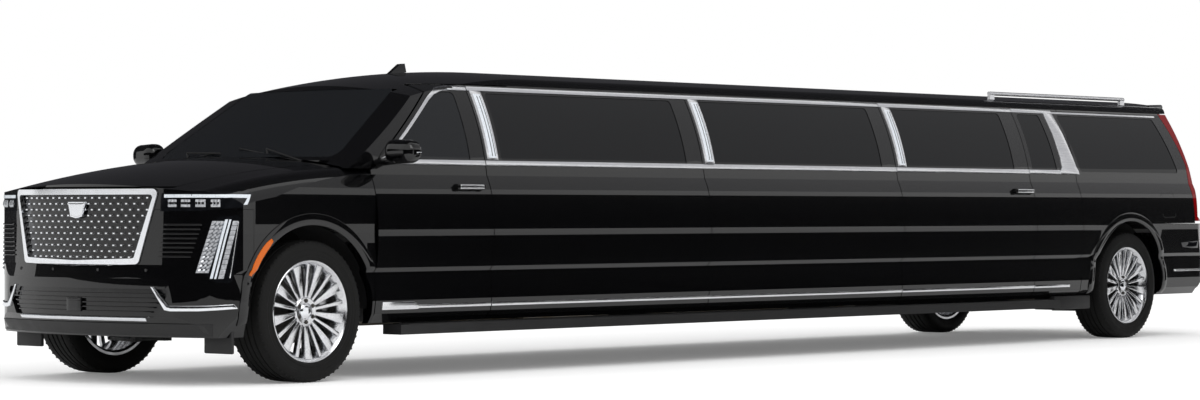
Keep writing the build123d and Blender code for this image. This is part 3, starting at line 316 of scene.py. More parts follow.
def flipSide(builder, verts=None):
    # turns a left shape into the right one
    bmesh.ops.scale(builder, vec=(1, -1, 1), verts=verts or builder.verts)


def addBothSides(name, shape, material, body="chassis", sharp=35):
    # one piece with both sides on the chassis, or one piece for each side's own body
    def mirrored(builder):
        shape(builder)
        everything = builder.verts[:] + builder.edges[:] + builder.faces[:]
        flipSide(builder, vertsIn(bmesh.ops.duplicate(builder, geom=everything)["geom"]))

    def flipped(builder):
        shape(builder)
        flipSide(builder)
    if body == "chassis":
        return [addShape(name, mirrored, material, body, sharp)]
    return [addShape(f"{name}.{side}", make, material, f"{body}_{side}", sharp)
            for side, make in (("left", shape), ("right", flipped))]


def roundedBlock(builder, low, high, radius, segments=2, turn=None):
    # a block between two corners with rounded edges, turned about its own middle
    made = bmesh.ops.create_cube(builder, size=1)["verts"]
    bmesh.ops.scale(builder, vec=Vector(high) - Vector(low), verts=made)
    if turn:
        bmesh.ops.transform(builder, matrix=turn.to_4x4(), verts=made)
    bmesh.ops.translate(builder, vec=(Vector(low) + Vector(high)) / 2, verts=made)
    softenEdges(builder, edgesOf(made), radius, segments)


def block(low, high, radius, segments=2, turn=None):
    return lambda builder: roundedBlock(builder, low, high, radius, segments, turn)


def rod(builder, start, end, radius, endRadius=None, segments=16):
    start, end = Vector(start), Vector(end)
    line = end - start
    place = Matrix.Translation((start + end) / 2) @ line.to_track_quat("Z", "Y").to_matrix().to_4x4()
    bmesh.ops.create_cone(builder, cap_ends=True, segments=segments, radius1=radius,
                          radius2=radius if endRadius is None else endRadius, depth=line.length, matrix=place)


def ribbon(builder, lowLine, highLine, thickness, bevel=0.0):
    # a strip between two lines of points, with a thickness outwards from the body
    verts = [builder.verts.new(point) for point in lowLine]
    edges = [builder.edges.new(pair) for pair in zip(verts, verts[1:])]
    bmesh.ops.extrude_edge_only(builder, edges=edges)
    for vert, place in zip(verts, highLine):
        for edge in vert.link_edges:
            other = edge.other_vert(vert)
            if other not in verts:
                other.co = place
    solidSheet(builder, facesOf(verts), thickness, bevel)


def drape(builder, columns, rows, place, thickness, bevel=0.0):
    # a grid laid on the body: place turns u and v from 0 to 1 into a point
    made = bmesh.ops.create_grid(builder, x_segments=columns, y_segments=rows, size=0.5)["verts"]
    for vert in made:
        vert.co = place(vert.co.x + 0.5, vert.co.y + 0.5)
    solidSheet(builder, facesOf(made), thickness, bevel)


def solidSheet(builder, faces, thickness, bevel):
    # lifts the faces off the body, then closes them down to just under its surface
    bmesh.ops.recalc_face_normals(builder, faces=faces)
    rim = list({edge for face in faces for edge in face.edges if len(edge.link_faces) == 1})
    middle = sum((face.calc_center_median() for face in faces), Vector()) / len(faces)
    outward = sum((face.normal for face in faces), Vector())
    if outward.dot(middle - Vector((middle.x * 0.9, 0, 0.6))) < 0:
        bmesh.ops.reverse_faces(builder, faces=faces)
    builder.normal_update()
    for vert in {vert for face in faces for vert in face.verts}:
        vert.co += vert.normal * thickness
    bmesh.ops.solidify(builder, geom=faces, thickness=thickness + sheetSunk)
    if bevel:
        softenEdges(builder, [edge for edge in rim if edge.is_valid], bevel)


def skinOf(*names):
    # the surfaces that trim is laid on
    corners, faces = [], []
    for name in names:
        mesh = nodes[name].data
        start = len(corners)
        corners += [vert.co.copy() for vert in mesh.vertices]
        faces += [[start + i for i in face.vertices] for face in mesh.polygons]
    return BVHTree.FromPolygons(corners, faces)


sideSkin = skinOf("front_fenders", "front_bumper", "front_door_left", "side_panels", "rear_door_left",
                  "quarter_panels", "rear_bumper", "side_glass", "front_door_glass_left",
                  "rear_door_glass_left", "roof_panel", "tail_lamps", "headlamps", "upright_lamps")
noseSkin = skinOf("front_fenders", "front_bumper", "grille_frame", "headlamps", "upright_lamps", "hood",
                  "lower_grille")
tailSkin = skinOf("tailgate", "tailgate_glass", "rear_bumper", "tail_lamps", "quarter_panels", "roof_panel")


def sidePoint(x, z):
    # over a shut line it takes the nearest panel
    for step in (0, 0.008, -0.008, 0.020, -0.020, 0.035, -0.035):
        place = sideSkin.ray_cast(Vector((x + step, 1.6, z)), Vector((0, -1, 0)), 1.0)[0]
        if place is not None:
            return Vector((x, place.y, place.z))
    raise ValueError(f"no side surface at {x:.3f}, {z:.3f}")


def fromAxle(x, z):
    return sidePoint(frontAxle.x + x, z)


def fromQuarter(x, z):
    return sidePoint(quarterCut + x, z)


nosePlan = {"wideArc": 2.6, "corner": 0.474, "cornerX": noseEnd - 0.550, "cornerY": 0.562, "turn": 0.2675}


def nosePoint(along, z):
    # along runs round the nose in plan from its middle, over the wide arc, the corner and the side
    wide = nosePlan["wideArc"] * math.sin(nosePlan["turn"])
    yaw = nosePlan["turn"] + (along - wide) / nosePlan["corner"]
    if along <= wide:
        start, line = Vector((noseEnd + 1, along, z)), Vector((-1, 0, 0))
    elif yaw < math.pi / 2:
        line = -Vector((math.cos(yaw), math.sin(yaw), 0))
        start = Vector((nosePlan["cornerX"], nosePlan["cornerY"], z)) - line * 1.5
    else:
        spare = (yaw - math.pi / 2) * nosePlan["corner"]
        start, line = Vector((nosePlan["cornerX"] - spare, 1.6, z)), Vector((0, -1, 0))
    place = noseSkin.ray_cast(start, line)[0]
    if place is None:
        raise ValueError(f"no nose surface at {along:.3f}, {z:.3f}")
    return place


def noseBoth(along, z):
    point = nosePoint(abs(along), z)
    return Vector((point.x, math.copysign(point.y, along), z))


def tailPoint(y, z):
    return tailSkin.ray_cast(Vector((tailEnd - 1, y, z)), Vector((1, 0, 0)))[0]


def fill(points, parts=4):
    # more places along each run, so that a strip follows the body
    made = []
    for start, end in zip(points, points[1:]):
        made += [tuple(between(ends, i / parts) for ends in zip(start, end)) for i in range(parts)]
    return made + [points[-1]]


def strip(point, low, high, proud, edge=trimEdge):
    # the shape of a strip between two lines of places, which point lays on the body
    def shape(builder):
        ribbon(builder, [point(*place) for place in low], [point(*place) for place in high], proud, edge)
    return shape


def levelStrip(point, places, low, high, proud, edge=trimEdge):
    return strip(point, [(place, low) for place in places], [(place, high) for place in places], proud, edge)


# body under each stretch of the side: body name, front and rear x
sideRuns = (
    ("front_door", frontDoor[0] - 0.002, frontDoor[1]),
    ("chassis", frontDoor[1] - 0.006, rearDoor[0] + 0.006),
    ("rear_door", rearDoor[0], rearDoor[1]),
    ("chassis", rearDoor[1] - 0.006, tailEnd + 0.43),
)
beltTrim = {"low": 1.292, "high": 1.324, "frontX": frontAxle.x - 0.662, "endX": quarterCut + 0.20}
topTrim = {"low": 1.764, "high": 1.790, "thinHigh": 1.778, "frontX": frontAxle.x - 1.382,
           "thinX": quarterCut + 0.10, "endX": tailEnd + 0.62}
sillTrim = {"low": 0.420, "high": 0.442, "frontX": frontAxle.x - 0.64, "endX": frontAxle.x - 8.15}
sideTrimFinish = {"proud": 0.007, "step": 0.8, "gap": 0.001, "shortest": 0.01}


def sideTrim(name, trims):
    # trims: low and high edge, foremost and rearmost x
    proud, gap = sideTrimFinish["proud"], sideTrimFinish["gap"]
    for body in ("chassis", "front_door", "rear_door"):
        runs = [run for run in sideRuns if run[0] == body]

        def shape(builder):
            for _, front, rear in runs:
                for low, high, xMax, xMin in trims:
                    start, end = min(front - gap, xMax), max(rear + gap, xMin)
                    if start - end > sideTrimFinish["shortest"]:
                        places = spread(start, end, max(2, round((start - end) / sideTrimFinish["step"])))
                        levelStrip(sidePoint, places, low, high, proud)(builder)
        addBothSides(f"{name}.{body}", shape, brightTrim, body)


sideTrim("beltStrip", [(beltTrim["low"], beltTrim["high"], beltTrim["frontX"], beltTrim["endX"])])
sideTrim("windowTopStrip", [
    (topTrim["low"], topTrim["high"], topTrim["frontX"], topTrim["thinX"]),
    (topTrim["low"], topTrim["thinHigh"], topTrim["thinX"], topTrim["endX"]),
])
sideTrim("sillStrip", [(sillTrim["low"], sillTrim["high"], sillTrim["frontX"], sillTrim["endX"])])

# bright bead that runs down the sloping pillar of the front door, and its foot at the mirror
doorBead = {
    "low": [(-0.664, 1.324), (-0.656, 1.324), (-0.653, 1.326), (-0.658, 1.330), (-0.700, 1.332),
            (-0.800, 1.408), (-0.900, 1.484), (-1.000, 1.561), (-1.100, 1.637), (-1.175, 1.692),
            (-1.245, 1.731), (-1.315, 1.754), (-1.385, 1.764)],
    "high": [(-0.664, 1.292), (-0.622, 1.292), (-0.602, 1.302), (-0.608, 1.318), (-0.680, 1.346),
             (-0.780, 1.422), (-0.880, 1.498), (-0.980, 1.575), (-1.080, 1.651), (-1.160, 1.711),
             (-1.230, 1.753), (-1.305, 1.779), (-1.385, 1.790)],
    "proud": 0.007,
}
addBothSides("pillarBead", strip(fromAxle, doorBead["low"], doorBead["high"], doorBead["proud"]),
             brightTrim, "front_door")

# taller bright plate at the front of the sill strip, left plain
sillPlate = {"front": -0.585, "rear": -0.90, "low": 0.415, "high": 0.464, "slope": 0.045, "proud": 0.010}
front, rear = sillPlate["front"], sillPlate["rear"]
places = [front, front - 0.1, rear + sillPlate["slope"], rear]
heights = [sillPlate["high"]] * 3 + [sillTrim["high"]]
addBothSides("sillPlate", strip(fromAxle, [(x, sillPlate["low"]) for x in places], list(zip(places, heights)),
                                sillPlate["proud"]), brightTrim, "front_door")

# lamp bars behind three shut lines: a bright frame, a frosted guide and two dark grooves
lampBar = {"behind": 0.020, "width": 0.100, "height": (1.326, 1.762), "frame": 0.016, "proud": 0.012,
           "edgeBehind": 0.010, "layer": 0.003, "step": 0.001,
           "grooves": (-0.016, -0.042), "grooveInset": 0.028, "grooveWidth": 0.006}
lampBarCuts = ((frontDoor[1], "chassis"), (middleCut, "chassis"), (rearDoor[0], "rear_door"))


def barLayer(cut, inset, lift, thickness, shift=0.0, width=None):
    start = cut - lampBar["behind"] - inset + shift
    across = (start, start - (width or lampBar["width"] - 2 * inset))
    low, high = lampBar["height"]

    def place(u, v):
        z = between((low + inset, high - inset), v)
        edge = sidePoint(cut - lampBar["edgeBehind"], z)
        return Vector((between(across, u), edge.y + lift, edge.z))
    return lambda builder: drape(builder, 2, 8, place, thickness, trimEdge)


for number, (cut, body) in enumerate(lampBarCuts, 1):
    proud, step, layer = lampBar["proud"], lampBar["step"], lampBar["layer"]

    def grooves(builder):
        for shift in lampBar["grooves"]:
            barLayer(cut, lampBar["grooveInset"], proud + step, layer, shift, lampBar["grooveWidth"])(builder)
    addBothSides(f"lampBarFrame{number}", barLayer(cut, 0.0, 0.0, proud), brightTrim, body)
    addBothSides(f"lampBarGuide{number}", barLayer(cut, lampBar["frame"], proud - step, layer),
                 lightGuide, body)
    addBothSides(f"lampBarGroove{number}", grooves, glossPlastic, body)

# broad bright fin ahead of the quarter glass, with a foot that runs into the belt strip
fin = {
    "front": [(0.226, 1.292), (0.224, 1.318), (0.190, 1.352), (0.186, 1.42), (0.200, 1.60), (0.217, 1.766)],
    "rear": [(-0.040, 1.292), (-0.034, 1.318), (-0.010, 1.352), (0.012, 1.42), (0.060, 1.60), (0.098, 1.766)],
    "proud": 0.010, "edge": 0.004,
}
addBothSides("quarterFin", strip(fromQuarter, fin["front"], fin["rear"], fin["proud"], fin["edge"]),
             brightTrim)
print("side trim made")

# pull handles: a dark cup in the door, a bright grip over it and body-coloured grip ends
handle = {
    "length": 0.215, "height": 0.030, "depth": 0.016, "edge": 0.007, "reach": 0.040, "z": 1.160,
    "post": {"halfX": 0.017, "halfZ": 0.018, "sunk": 0.010, "under": 0.004, "beyond": 0.002, "edge": 0.008},
    "cup": {"size": (0.062, 0.006, 0.042), "sunk": 0.001, "below": 0.018},
    "places": (("front_door", frontDoor[1] + 0.195), ("rear_door", rearDoor[1] + 0.150)),
}
for body, middleX in handle["places"]:
    z, half = handle["z"], handle["length"] / 2
    skinY = sidePoint(middleX, z).y
    outY = skinY + handle["reach"]

    def posts(builder):
        post = handle["post"]
        for side in (-1, 1):
            x = middleX + side * (half + post["beyond"])
            roundedBlock(builder, (x - post["halfX"], skinY - post["sunk"], z - post["halfZ"]),
                         (x + post["halfX"], outY - post["under"], z + post["halfZ"]), post["edge"], 3)

    def cup(builder):
        made = bmesh.ops.create_uvsphere(builder, u_segments=28, v_segments=12, radius=1)["verts"]
        bmesh.ops.scale(builder, vec=handle["cup"]["size"], verts=made)
        place = (middleX, skinY - handle["cup"]["sunk"], z - handle["cup"]["below"])
        bmesh.ops.translate(builder, vec=place, verts=made)
    grip = block((middleX - half, outY - handle["depth"], z - handle["height"] / 2),
                 (middleX + half, outY, z + handle["height"] / 2), handle["edge"], 3)
    addBothSides(f"{body}.grip", grip, brightTrim, body)
    addBothSides(f"{body}.gripPosts", posts, blackPaint, body)
    addBothSides(f"{body}.gripCup", cup, glossPlastic, body)

# mouldings round the arches, and the dark liners inside them
archTrim = {"radius": (0.509, 0.578), "proud": 0.007, "sweep": {"front": (-7, 154), "rear": (-7, 187)},
            "liner": 0.530, "linerY": (0.58, 0.70, 0.955), "linerDrop": 0.06,
            "linerSweep": 186, "linerWall": 0.004}


def archPoint(centre, angle, radius):
    return sidePoint(centre.x + radius * math.cos(angle), centre.z + radius * math.sin(angle))


def archMoulding(end, centre):
    sweep = [math.radians(angle) for angle in archTrim["sweep"][end]]

    def place(u, v):
        return archPoint(centre, between(sweep, u), between(archTrim["radius"], v))
    return lambda builder: drape(builder, 56, 2, place, archTrim["proud"], trimEdge)


def archLiner(centre):
    def shape(builder):
        x, z = centre.x + archTrim["liner"], centre.z - archTrim["linerDrop"]
        verts = [builder.verts.new((x, y, z)) for y in archTrim["linerY"]]
        edges = [builder.edges.new(pair) for pair in zip(verts, verts[1:])]
        bmesh.ops.spin(builder, geom=verts + edges, cent=centre, axis=(0, -1, 0),
                       angle=math.radians(archTrim["linerSweep"]), steps=40)
        bmesh.ops.solidify(builder, geom=builder.faces[:], thickness=archTrim["linerWall"])
    return shape


for end, centre in (("front", frontAxle), ("rear", rearAxle)):
    addBothSides(f"{end}ArchMoulding", archMoulding(end, centre), blackPaint)
    addBothSides(f"{end}ArchLiner", archLiner(centre), grainedPlastic)

# amber side marker set in the front moulding, narrower toward its ends
marker = {"sweep": (24, 52), "inner": 0.516, "outer": 0.556, "squeeze": 0.010, "lift": 0.006, "proud": 0.006}


def markerPoint(u, v):
    squeeze = marker["squeeze"] * (2 * u - 1) ** 4
    radius = between((marker["inner"] + squeeze, marker["outer"] - squeeze), v)
    angle = math.radians(between(marker["sweep"], u))
    return archPoint(frontAxle, angle, radius) + Vector((0, marker["lift"], 0))


addBothSides("sideMarker", lambda builder: drape(builder, 16, 3, markerPoint, marker["proud"], trimEdge),
             amberLens)
print("handles, arches and markers made")

# nose: rows of bright studs on the grille, each row half a step from the next, on thin black rails
studs = {"rows": 11, "columns": 11, "pitch": 0.060, "rowPitch": 0.0345, "top": 1.087,
         "size": (0.017, 0.036, 0.012), "half": (0.468, 0.600), "height": (0.736, 1.106), "margin": 0.006}
rails = {"height": 0.006, "depth": 0.010, "margin": 0.004}
grilleSkin, intakeSkin = skinOf("grille"), skinOf("lower_grille")
rowHeights = [studs["top"] - row * studs["rowPitch"] for row in range(studs["rows"])]


def facePoint(skin, y, z):
    # straight back from in front of the nose
    return skin.ray_cast(Vector((noseEnd + 1, y, z)), Vector((-1, 0, 0)))[0]


def grillePoint(y, z):
    return facePoint(grilleSkin, y, z)


def grilleHalf(z):
    low, high = studs["height"]
    return between(studs["half"], (z - low) / (high - low))


def studShape(builder):
    height, width, depth = studs["size"]
    for row, z in enumerate(rowHeights):
        reach = grilleHalf(z) - width / 2 - studs["margin"]
        for step in range(-studs["columns"], studs["columns"] + 1):
            y = step * studs["pitch"] + studs["pitch"] / 2 * (row % 2)
            if abs(y) > reach:
                continue
            turn = Matrix.Rotation(math.pi / 4, 4, "Z")
            made = bmesh.ops.create_cone(builder, cap_ends=True, segments=4, radius1=0.7071, radius2=0.33,
                                         depth=1, matrix=turn)["verts"]
            bmesh.ops.scale(builder, vec=studs["size"], verts=made)
            seat = Matrix.Translation(grillePoint(y, z) + Vector((depth / 2, 0, 0)))
            bmesh.ops.transform(builder, matrix=seat @ Matrix.Rotation(math.pi / 2, 4, "Y"), verts=made)


def railShape(builder):
    for z in rowHeights:
        reach, half = grilleHalf(z) - rails["margin"], rails["height"] / 2
        levelStrip(grillePoint, spread(-reach, reach, 16), z - half, z + half, rails["depth"], 0)(builder)


addShape("grilleStuds", studShape, chromePlate, sharp=20)
addShape("grilleRails", railShape, glossPlastic)

# plain bright plaque where a badge would be, left bare
plaque = {"z": 1.020, "half": (0.050, 0.078), "height": 0.088, "point": 0.010, "lift": 0.014, "proud": 0.016,
          "edge": 0.005}


def plaquePoint(u, v):
    point = plaque["point"] * (1 - v) * (1 - abs(2 * u - 1))
    z = plaque["z"] + (v - 0.5) * plaque["height"] - point
    return grillePoint((2 * u - 1) * between(plaque["half"], v), z) + Vector((plaque["lift"], 0, 0))


addShape("grillePlaque", lambda builder: drape(builder, 8, 6, plaquePoint, plaque["proud"], plaque["edge"]),
         chromePlate)

# lower grille: level bars over a dark mesh, a sensor cover in the middle
intake = {"height": (0.415, 0.545), "bars": 5, "half": (0.600, 0.700), "margin": 0.020, "bar": 0.008,
          "proud": 0.016, "edge": 0.002}
sensor = {"width": 0.125, "height": (0.424, 0.506), "lift": 0.012, "proud": 0.014, "edge": 0.006}


def intakePoint(y, z):
    return facePoint(intakeSkin, y, z)


def sensorPoint(u, v):
    point = intakePoint((u - 0.5) * sensor["width"], between(sensor["height"], v))
    return point + Vector((sensor["lift"], 0, 0))


def intakeShape(builder):
    for i in range(intake["bars"]):
        share = (i + 0.5) / intake["bars"]
        z, half = between(intake["height"], share), between(intake["half"], share) - intake["margin"]
        low, high = z - intake["bar"] / 2, z + intake["bar"] / 2
        levelStrip(intakePoint, spread(-half, half, 20), low, high, intake["proud"], intake["edge"])(builder)


addShape("intakeBars", intakeShape, glossPlastic)
addShape("sensorCover", lambda builder: drape(builder, 4, 4, sensorPoint, sensor["proud"], sensor["edge"]),
         glossPlastic)

# bright knee beside the lower grille that runs back round the corner, and the low strip across the front
knee = {
    "slantLow": [(0.600, 0.574), (0.692, 0.440)],
    "slantHigh": [(0.622, 0.574), (0.716, 0.466)],
    "low": [(0.730, 0.434), (0.90, 0.435), (1.00, 0.440), (1.125, 0.448)],
    "high": [(0.735, 0.466), (0.90, 0.467), (1.00, 0.470), (1.100, 0.474)],
    "proud": 0.011,
}
addBothSides("bumperKnee", strip(nosePoint, knee["slantLow"] + fill(knee["low"]),
                                 knee["slantHigh"] + fill(knee["high"]), knee["proud"]),
             chromePlate)
lowStrip = {"half": 0.56, "low": 0.378, "high": 0.396, "proud": 0.010}
places = spread(-lowStrip["half"], lowStrip["half"], 24)
addShape("bumperLowStrip", levelStrip(noseBoth, places, lowStrip["low"], lowStrip["high"], lowStrip["proud"]),
         chromePlate)

# lamps on the nose: dark smoked housings with bright guides and crystal blocks laid on them
lampHousing = makeFinish("smokedPolycarbonate", {
    "grain": 30.0, "depth": 0.004, "cloud": 50.0, "colours": ("0b0c0e", "131417"),
    "roughness": (0.03, 0.06), "surface": {"IOR": 1.58}})
for name in ("headlamps", "upright_lamps"):
    nodes[name].data.materials[0] = lampHousing
slotOf[lampHousing.name] = "lamp_lens"

headlamp = {
    "stripLow": [(0.668, 1.087), (0.90, 1.087), (1.10, 1.086), (1.198, 1.085), (1.160, 1.046)],
    "stripHigh": [(0.668, 1.106), (0.90, 1.106), (1.10, 1.105), (1.232, 1.104), (1.188, 1.046)],
    "stripProud": 0.004, "stripEdge": 0.001,
    # each module's start and width
    "modules": [(0.700, 0.060), (0.790, 0.060), (0.880, 0.058), (0.968, 0.054)],
    "cells": 3, "gap": 0.001, "height": (1.034, 1.076), "swell": 0.006, "layer": 0.002,
}


def moduleShape(builder):
    for start, width in headlamp["modules"]:
        cell = width / headlamp["cells"]
        for i in range(headlamp["cells"]):
            low = start + cell * i + headlamp["gap"]

            def place(u, v):
                lift = headlamp["swell"] * min(1, 3 * min(u, 1 - u), 3 * min(v, 1 - v))
                along = low + (cell - 2 * headlamp["gap"]) * u
                return nosePoint(along, between(headlamp["height"], v)) + Vector((lift, lift / 2, 0))
            drape(builder, 3, 3, place, headlamp["layer"])


addBothSides("headlampStrip", strip(nosePoint, fill(headlamp["stripLow"]), fill(headlamp["stripHigh"]),
                                    headlamp["stripProud"], headlamp["stripEdge"]),
             lightGuide)
addBothSides("headlampModules", moduleShape, metallised, sharp=15)

upright = {
    "guides": [
        ([(0.962, 0.622), (0.992, 0.74), (1.022, 0.86), (1.050, 0.962)], 0.016),
        ([(0.986, 0.620), (1.016, 0.74), (1.046, 0.86), (1.074, 0.962)], 0.012),
    ],
    "guideProud": 0.010,
    # runs of crystal blocks: lower and upper place, width, columns
    "facets": [((0.880, 0.655), (0.976, 0.955), 0.076, 3), ((1.008, 0.622), (1.096, 0.956), 0.034, 1)],
    "facetRows": 12, "facetShare": 0.9, "swell": 0.008, "layer": 0.001,
    "rim": [(1.075, 0.625), (1.092, 0.73), (1.108, 0.84), (1.126, 0.95)],
    "rimWidth": 0.006, "rimProud": 0.003, "rimEdge": 0.001,
}


def slantStrip(line, width, proud, edge=trimEdge):
    # a strip of even width along a line on the nose
    line = fill(line, 3)
    return strip(nosePoint, line, [(along + width, z) for along, z in line], proud, edge)


def uprightGuides(builder):
    for line, width in upright["guides"]:
        slantStrip(line, width, upright["guideProud"])(builder)


def uprightFacets(builder):
    rows, share = upright["facetRows"], upright["facetShare"]
    for (startA, startZ), (endA, endZ), width, columns in upright["facets"]:
        cell = width / columns
        for row in range(rows):
            for column in range(columns):
                reach = (row / rows, (row + share) / rows)

                def place(u, v):
                    s = between(reach, v)
                    lift = upright["swell"] * min(1, 2 * min(u, 1 - u)) * min(1, 2 * min(v, 1 - v))
                    along = between((startA, endA), s) + cell * (column + (1 - share) / 2 + share * u)
                    return nosePoint(along, between((startZ, endZ), s)) + Vector((lift, lift, 0))
                drape(builder, 2, 2, place, upright["layer"])


addBothSides("uprightGuides", uprightGuides, lightGuide)
addBothSides("uprightFacets", uprightFacets, metallised, sharp=10)
addBothSides("uprightRim", slantStrip(upright["rim"], upright["rimWidth"], upright["rimProud"],
                                      upright["rimEdge"]), brightTrim)

# slatted vents between the grille and the upright lamps
vent = {"height": (0.735, 0.945), "slats": 8, "inner": (0.640, 0.672), "outer": (0.850, 0.923), "slat": 0.009,
        "proud": 0.006, "edge": 0.002}


def ventShape(builder):
    for i in range(vent["slats"]):
        share = (i + 0.5) / vent["slats"]
        z = between(vent["height"], share)
        places = spread(between(vent["inner"], share), between(vent["outer"], share), 8)
        low, high = z - vent["slat"] / 2, z + vent["slat"] / 2
        levelStrip(nosePoint, places, low, high, vent["proud"], vent["edge"])(builder)


addBothSides("cornerVents", ventShape, glossPlastic)

# grained valance under the bumper, deflector plates ahead of the wheels and round parking sensors
valance = {"low": 0.292, "high": 0.362, "half": 0.98, "proud": 0.005, "edge": 0.002}
deflector = {"low": (noseEnd - 0.385, 0.73, 0.185), "high": (noseEnd - 0.360, 0.965, 0.32), "edge": 0.008}
parking = {"along": (0.20, 0.56), "z": 0.668, "radius": (0.011, 0.009), "depth": 0.008}


def parkingShape(builder):
    for side in (-1, 1):
        for along in parking["along"]:
            point = noseBoth(side * along, parking["z"])
            place = Matrix.Translation(point) @ Matrix.Rotation(math.pi / 2, 4, "Y")
            bmesh.ops.create_cone(builder, cap_ends=True, segments=20, radius1=parking["radius"][0],
                                  radius2=parking["radius"][1], depth=parking["depth"], matrix=place)


addShape("bumperValance", levelStrip(noseBoth, spread(-valance["half"], valance["half"], 40), valance["low"],
                                     valance["high"], valance["proud"], valance["edge"]),
         grainedPlastic)
addBothSides("airDeflectors", block(deflector["low"], deflector["high"], deflector["edge"]),
             grainedPlastic)
addShape("parkingSensors", parkingShape, glossPlastic)
print("nose made")

# forged wheels: a lipped barrel, spokes with broad and narrow ends in turn, a plain cap and six nuts
wheel = {
    "pairs": 9, "innerRadius": 0.070, "outerRadius": 0.282, "innerY": 0.088, "outerY": 0.118,
    "broad": (0.0085, 0.030), "narrow": (0.0075, 0.013), "depth": 0.030, "flare": 1.25, "edge": 0.0035,
    "barrel": [(0.306, -0.130), (0.299, -0.118), (0.286, -0.112), (0.276, -0.080), (0.262, 0.020),
               (0.270, 0.075), (0.286, 0.100), (0.299, 0.108), (0.306, 0.128), (0.300, 0.132),
               (0.290, 0.126), (0.281, 0.112), (0.262, 0.088), (0.252, 0.020), (0.266, -0.082),
               (0.276, -0.118), (0.290, -0.130)],
    "hub": [(0.0, 0.060), (0.083, 0.060), (0.092, 0.074), (0.090, 0.086), (0.078, 0.094), (0.052, 0.090),
            (0.050, 0.086), (0.0, 0.086)],
    "cap": [(0.0, 0.088), (0.0, 0.104), (0.024, 0.102), (0.041, 0.097), (0.046, 0.092), (0.046, 0.086)],
}
# a nut's washer and hexagon: radius, place along the axis, depth, sides
nuts = {"count": 6, "circle": 0.0635, "parts": ((0.0135, 0.0935, 0.002, 24), (0.0095, 0.0975, 0.010, 6))}
# radius and outward distance: one half of the tread with its grooves, used on both sides of the middle,
# between an inner wall and an outer wall with two raised lines
treadHalf = [(0.398, 0.136), (0.412, 0.124), (0.417, 0.112), (0.4185, 0.085), (0.4185, 0.070), (0.411, 0.068),
             (0.411, 0.060), (0.419, 0.058), (0.419, 0.026), (0.411, 0.024), (0.411, 0.016), (0.419, 0.014)]
tyre = {
    "inner": [(0.300, -0.118), (0.318, -0.128), (0.345, -0.140), (0.375, -0.142)],
    "outer": [(0.375, 0.1415), (0.360, 0.1415), (0.357, 0.1395), (0.345, 0.140), (0.330, 0.1375),
              (0.324, 0.140), (0.312, 0.1375), (0.302, 0.128), (0.298, 0.116)],
    "lugs": 64, "lugY": 0.116, "lugHalf": (0.0065, 0.012), "lugRadius": (0.400, 0.4165), "lugEdge": 0.002,
}


def spinRound(builder, outline, closed, steps=96):
    # an outline of radius and outward distance, spun about the wheel's axis
    verts = [builder.verts.new((0, y, r)) for r, y in outline]
    pairs = list(zip(verts, verts[1:])) + ([(verts[-1], verts[0])] if closed else [])
    edges = [builder.edges.new(pair) for pair in pairs]
    bmesh.ops.spin(builder, geom=verts + edges, cent=(0, 0, 0), axis=(0, 1, 0), angle=math.tau, steps=steps,
                   use_merge=True)
    bmesh.ops.remove_doubles(builder, verts=builder.verts[:], dist=seam)


def ringCopies(builder, count, make):
    # the same small shape repeated round the axis
    for i in range(count):
        before = set(builder.verts)
        make(builder, i)
        fresh = [vert for vert in builder.verts if vert not in before]
        turn = Matrix.Rotation(math.tau * i / count, 3, "Y")
        bmesh.ops.rotate(builder, verts=fresh, cent=(0, 0, 0), matrix=turn)


def addSpoke(builder, number):
    inner, outer = wheel["broad"] if number % 2 else wheel["narrow"]
    made = bmesh.ops.create_cube(builder, size=1)["verts"]
    for vert in made:
        far, front = vert.co.z > 0, vert.co.y > 0
        radius = wheel["outerRadius"] if far else wheel["innerRadius"]
        face = wheel["outerY"] if far else wheel["innerY"]
        half = (outer if far else inner) * (1.0 if front else wheel["flare"])
        vert.co = Vector((math.copysign(half, vert.co.x), face - (0 if front else wheel["depth"]), radius))
    softenEdges(builder, edgesOf(made), wheel["edge"])


def addNut(builder, number):
    for radius, low, depth, sides in nuts["parts"]:
        place = Matrix.Translation((0, low, nuts["circle"])) @ Matrix.Rotation(-math.pi / 2, 4, "X")
        bmesh.ops.create_cone(builder, cap_ends=True, segments=sides, radius1=radius, radius2=radius * 0.9,
                              depth=depth, matrix=place)


def addLugs(builder, number):
    (halfX, halfY), (low, high) = tyre["lugHalf"], tyre["lugRadius"]
    for y in (-tyre["lugY"], tyre["lugY"]):
        roundedBlock(builder, (-halfX, y - halfY, low), (halfX, y + halfY, high), tyre["lugEdge"], 1)


def wheelShape(builder):
    spinRound(builder, wheel["barrel"], True)
    spinRound(builder, wheel["hub"], False, 48)
    ringCopies(builder, wheel["pairs"] * 2, addSpoke)


def tyreShape(builder):
    profile = tyre["inner"] + [(r, -y) for r, y in treadHalf] + treadHalf[::-1] + tyre["outer"]
    spinRound(builder, profile, False, 128)
    ringCopies(builder, tyre["lugs"], addLugs)


wheelPieces = (
    ("forgedWheel", wheelShape, polishedWheel, "polished_wheel", "rim"),
    ("wheelCap", lambda builder: spinRound(builder, wheel["cap"], False, 40), chromePlate, "polished_wheel",
     None),
    ("wheelNuts", lambda builder: ringCopies(builder, nuts["count"], addNut), castIron, "cast_iron", None),
    ("treadedTyre", tyreShape, tyreRubber, "tyre_rubber", "tyre"),
)
for body, centre in wheelCentre.items():
    corner = body.replace("wheel_", "")
    for name, shape, material, slotName, replaced in wheelPieces:
        builder = bmesh.new()
        shape(builder)
        if centre.y < 0:
            flipSide(builder)
        bmesh.ops.translate(builder, verts=builder.verts, vec=centre)
        piece = addPiece(f"{name}.{corner}", builder, material, body, slotName, 30)
        if replaced:
            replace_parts(piece, f"{replaced}_{corner}")
print("wheels made")

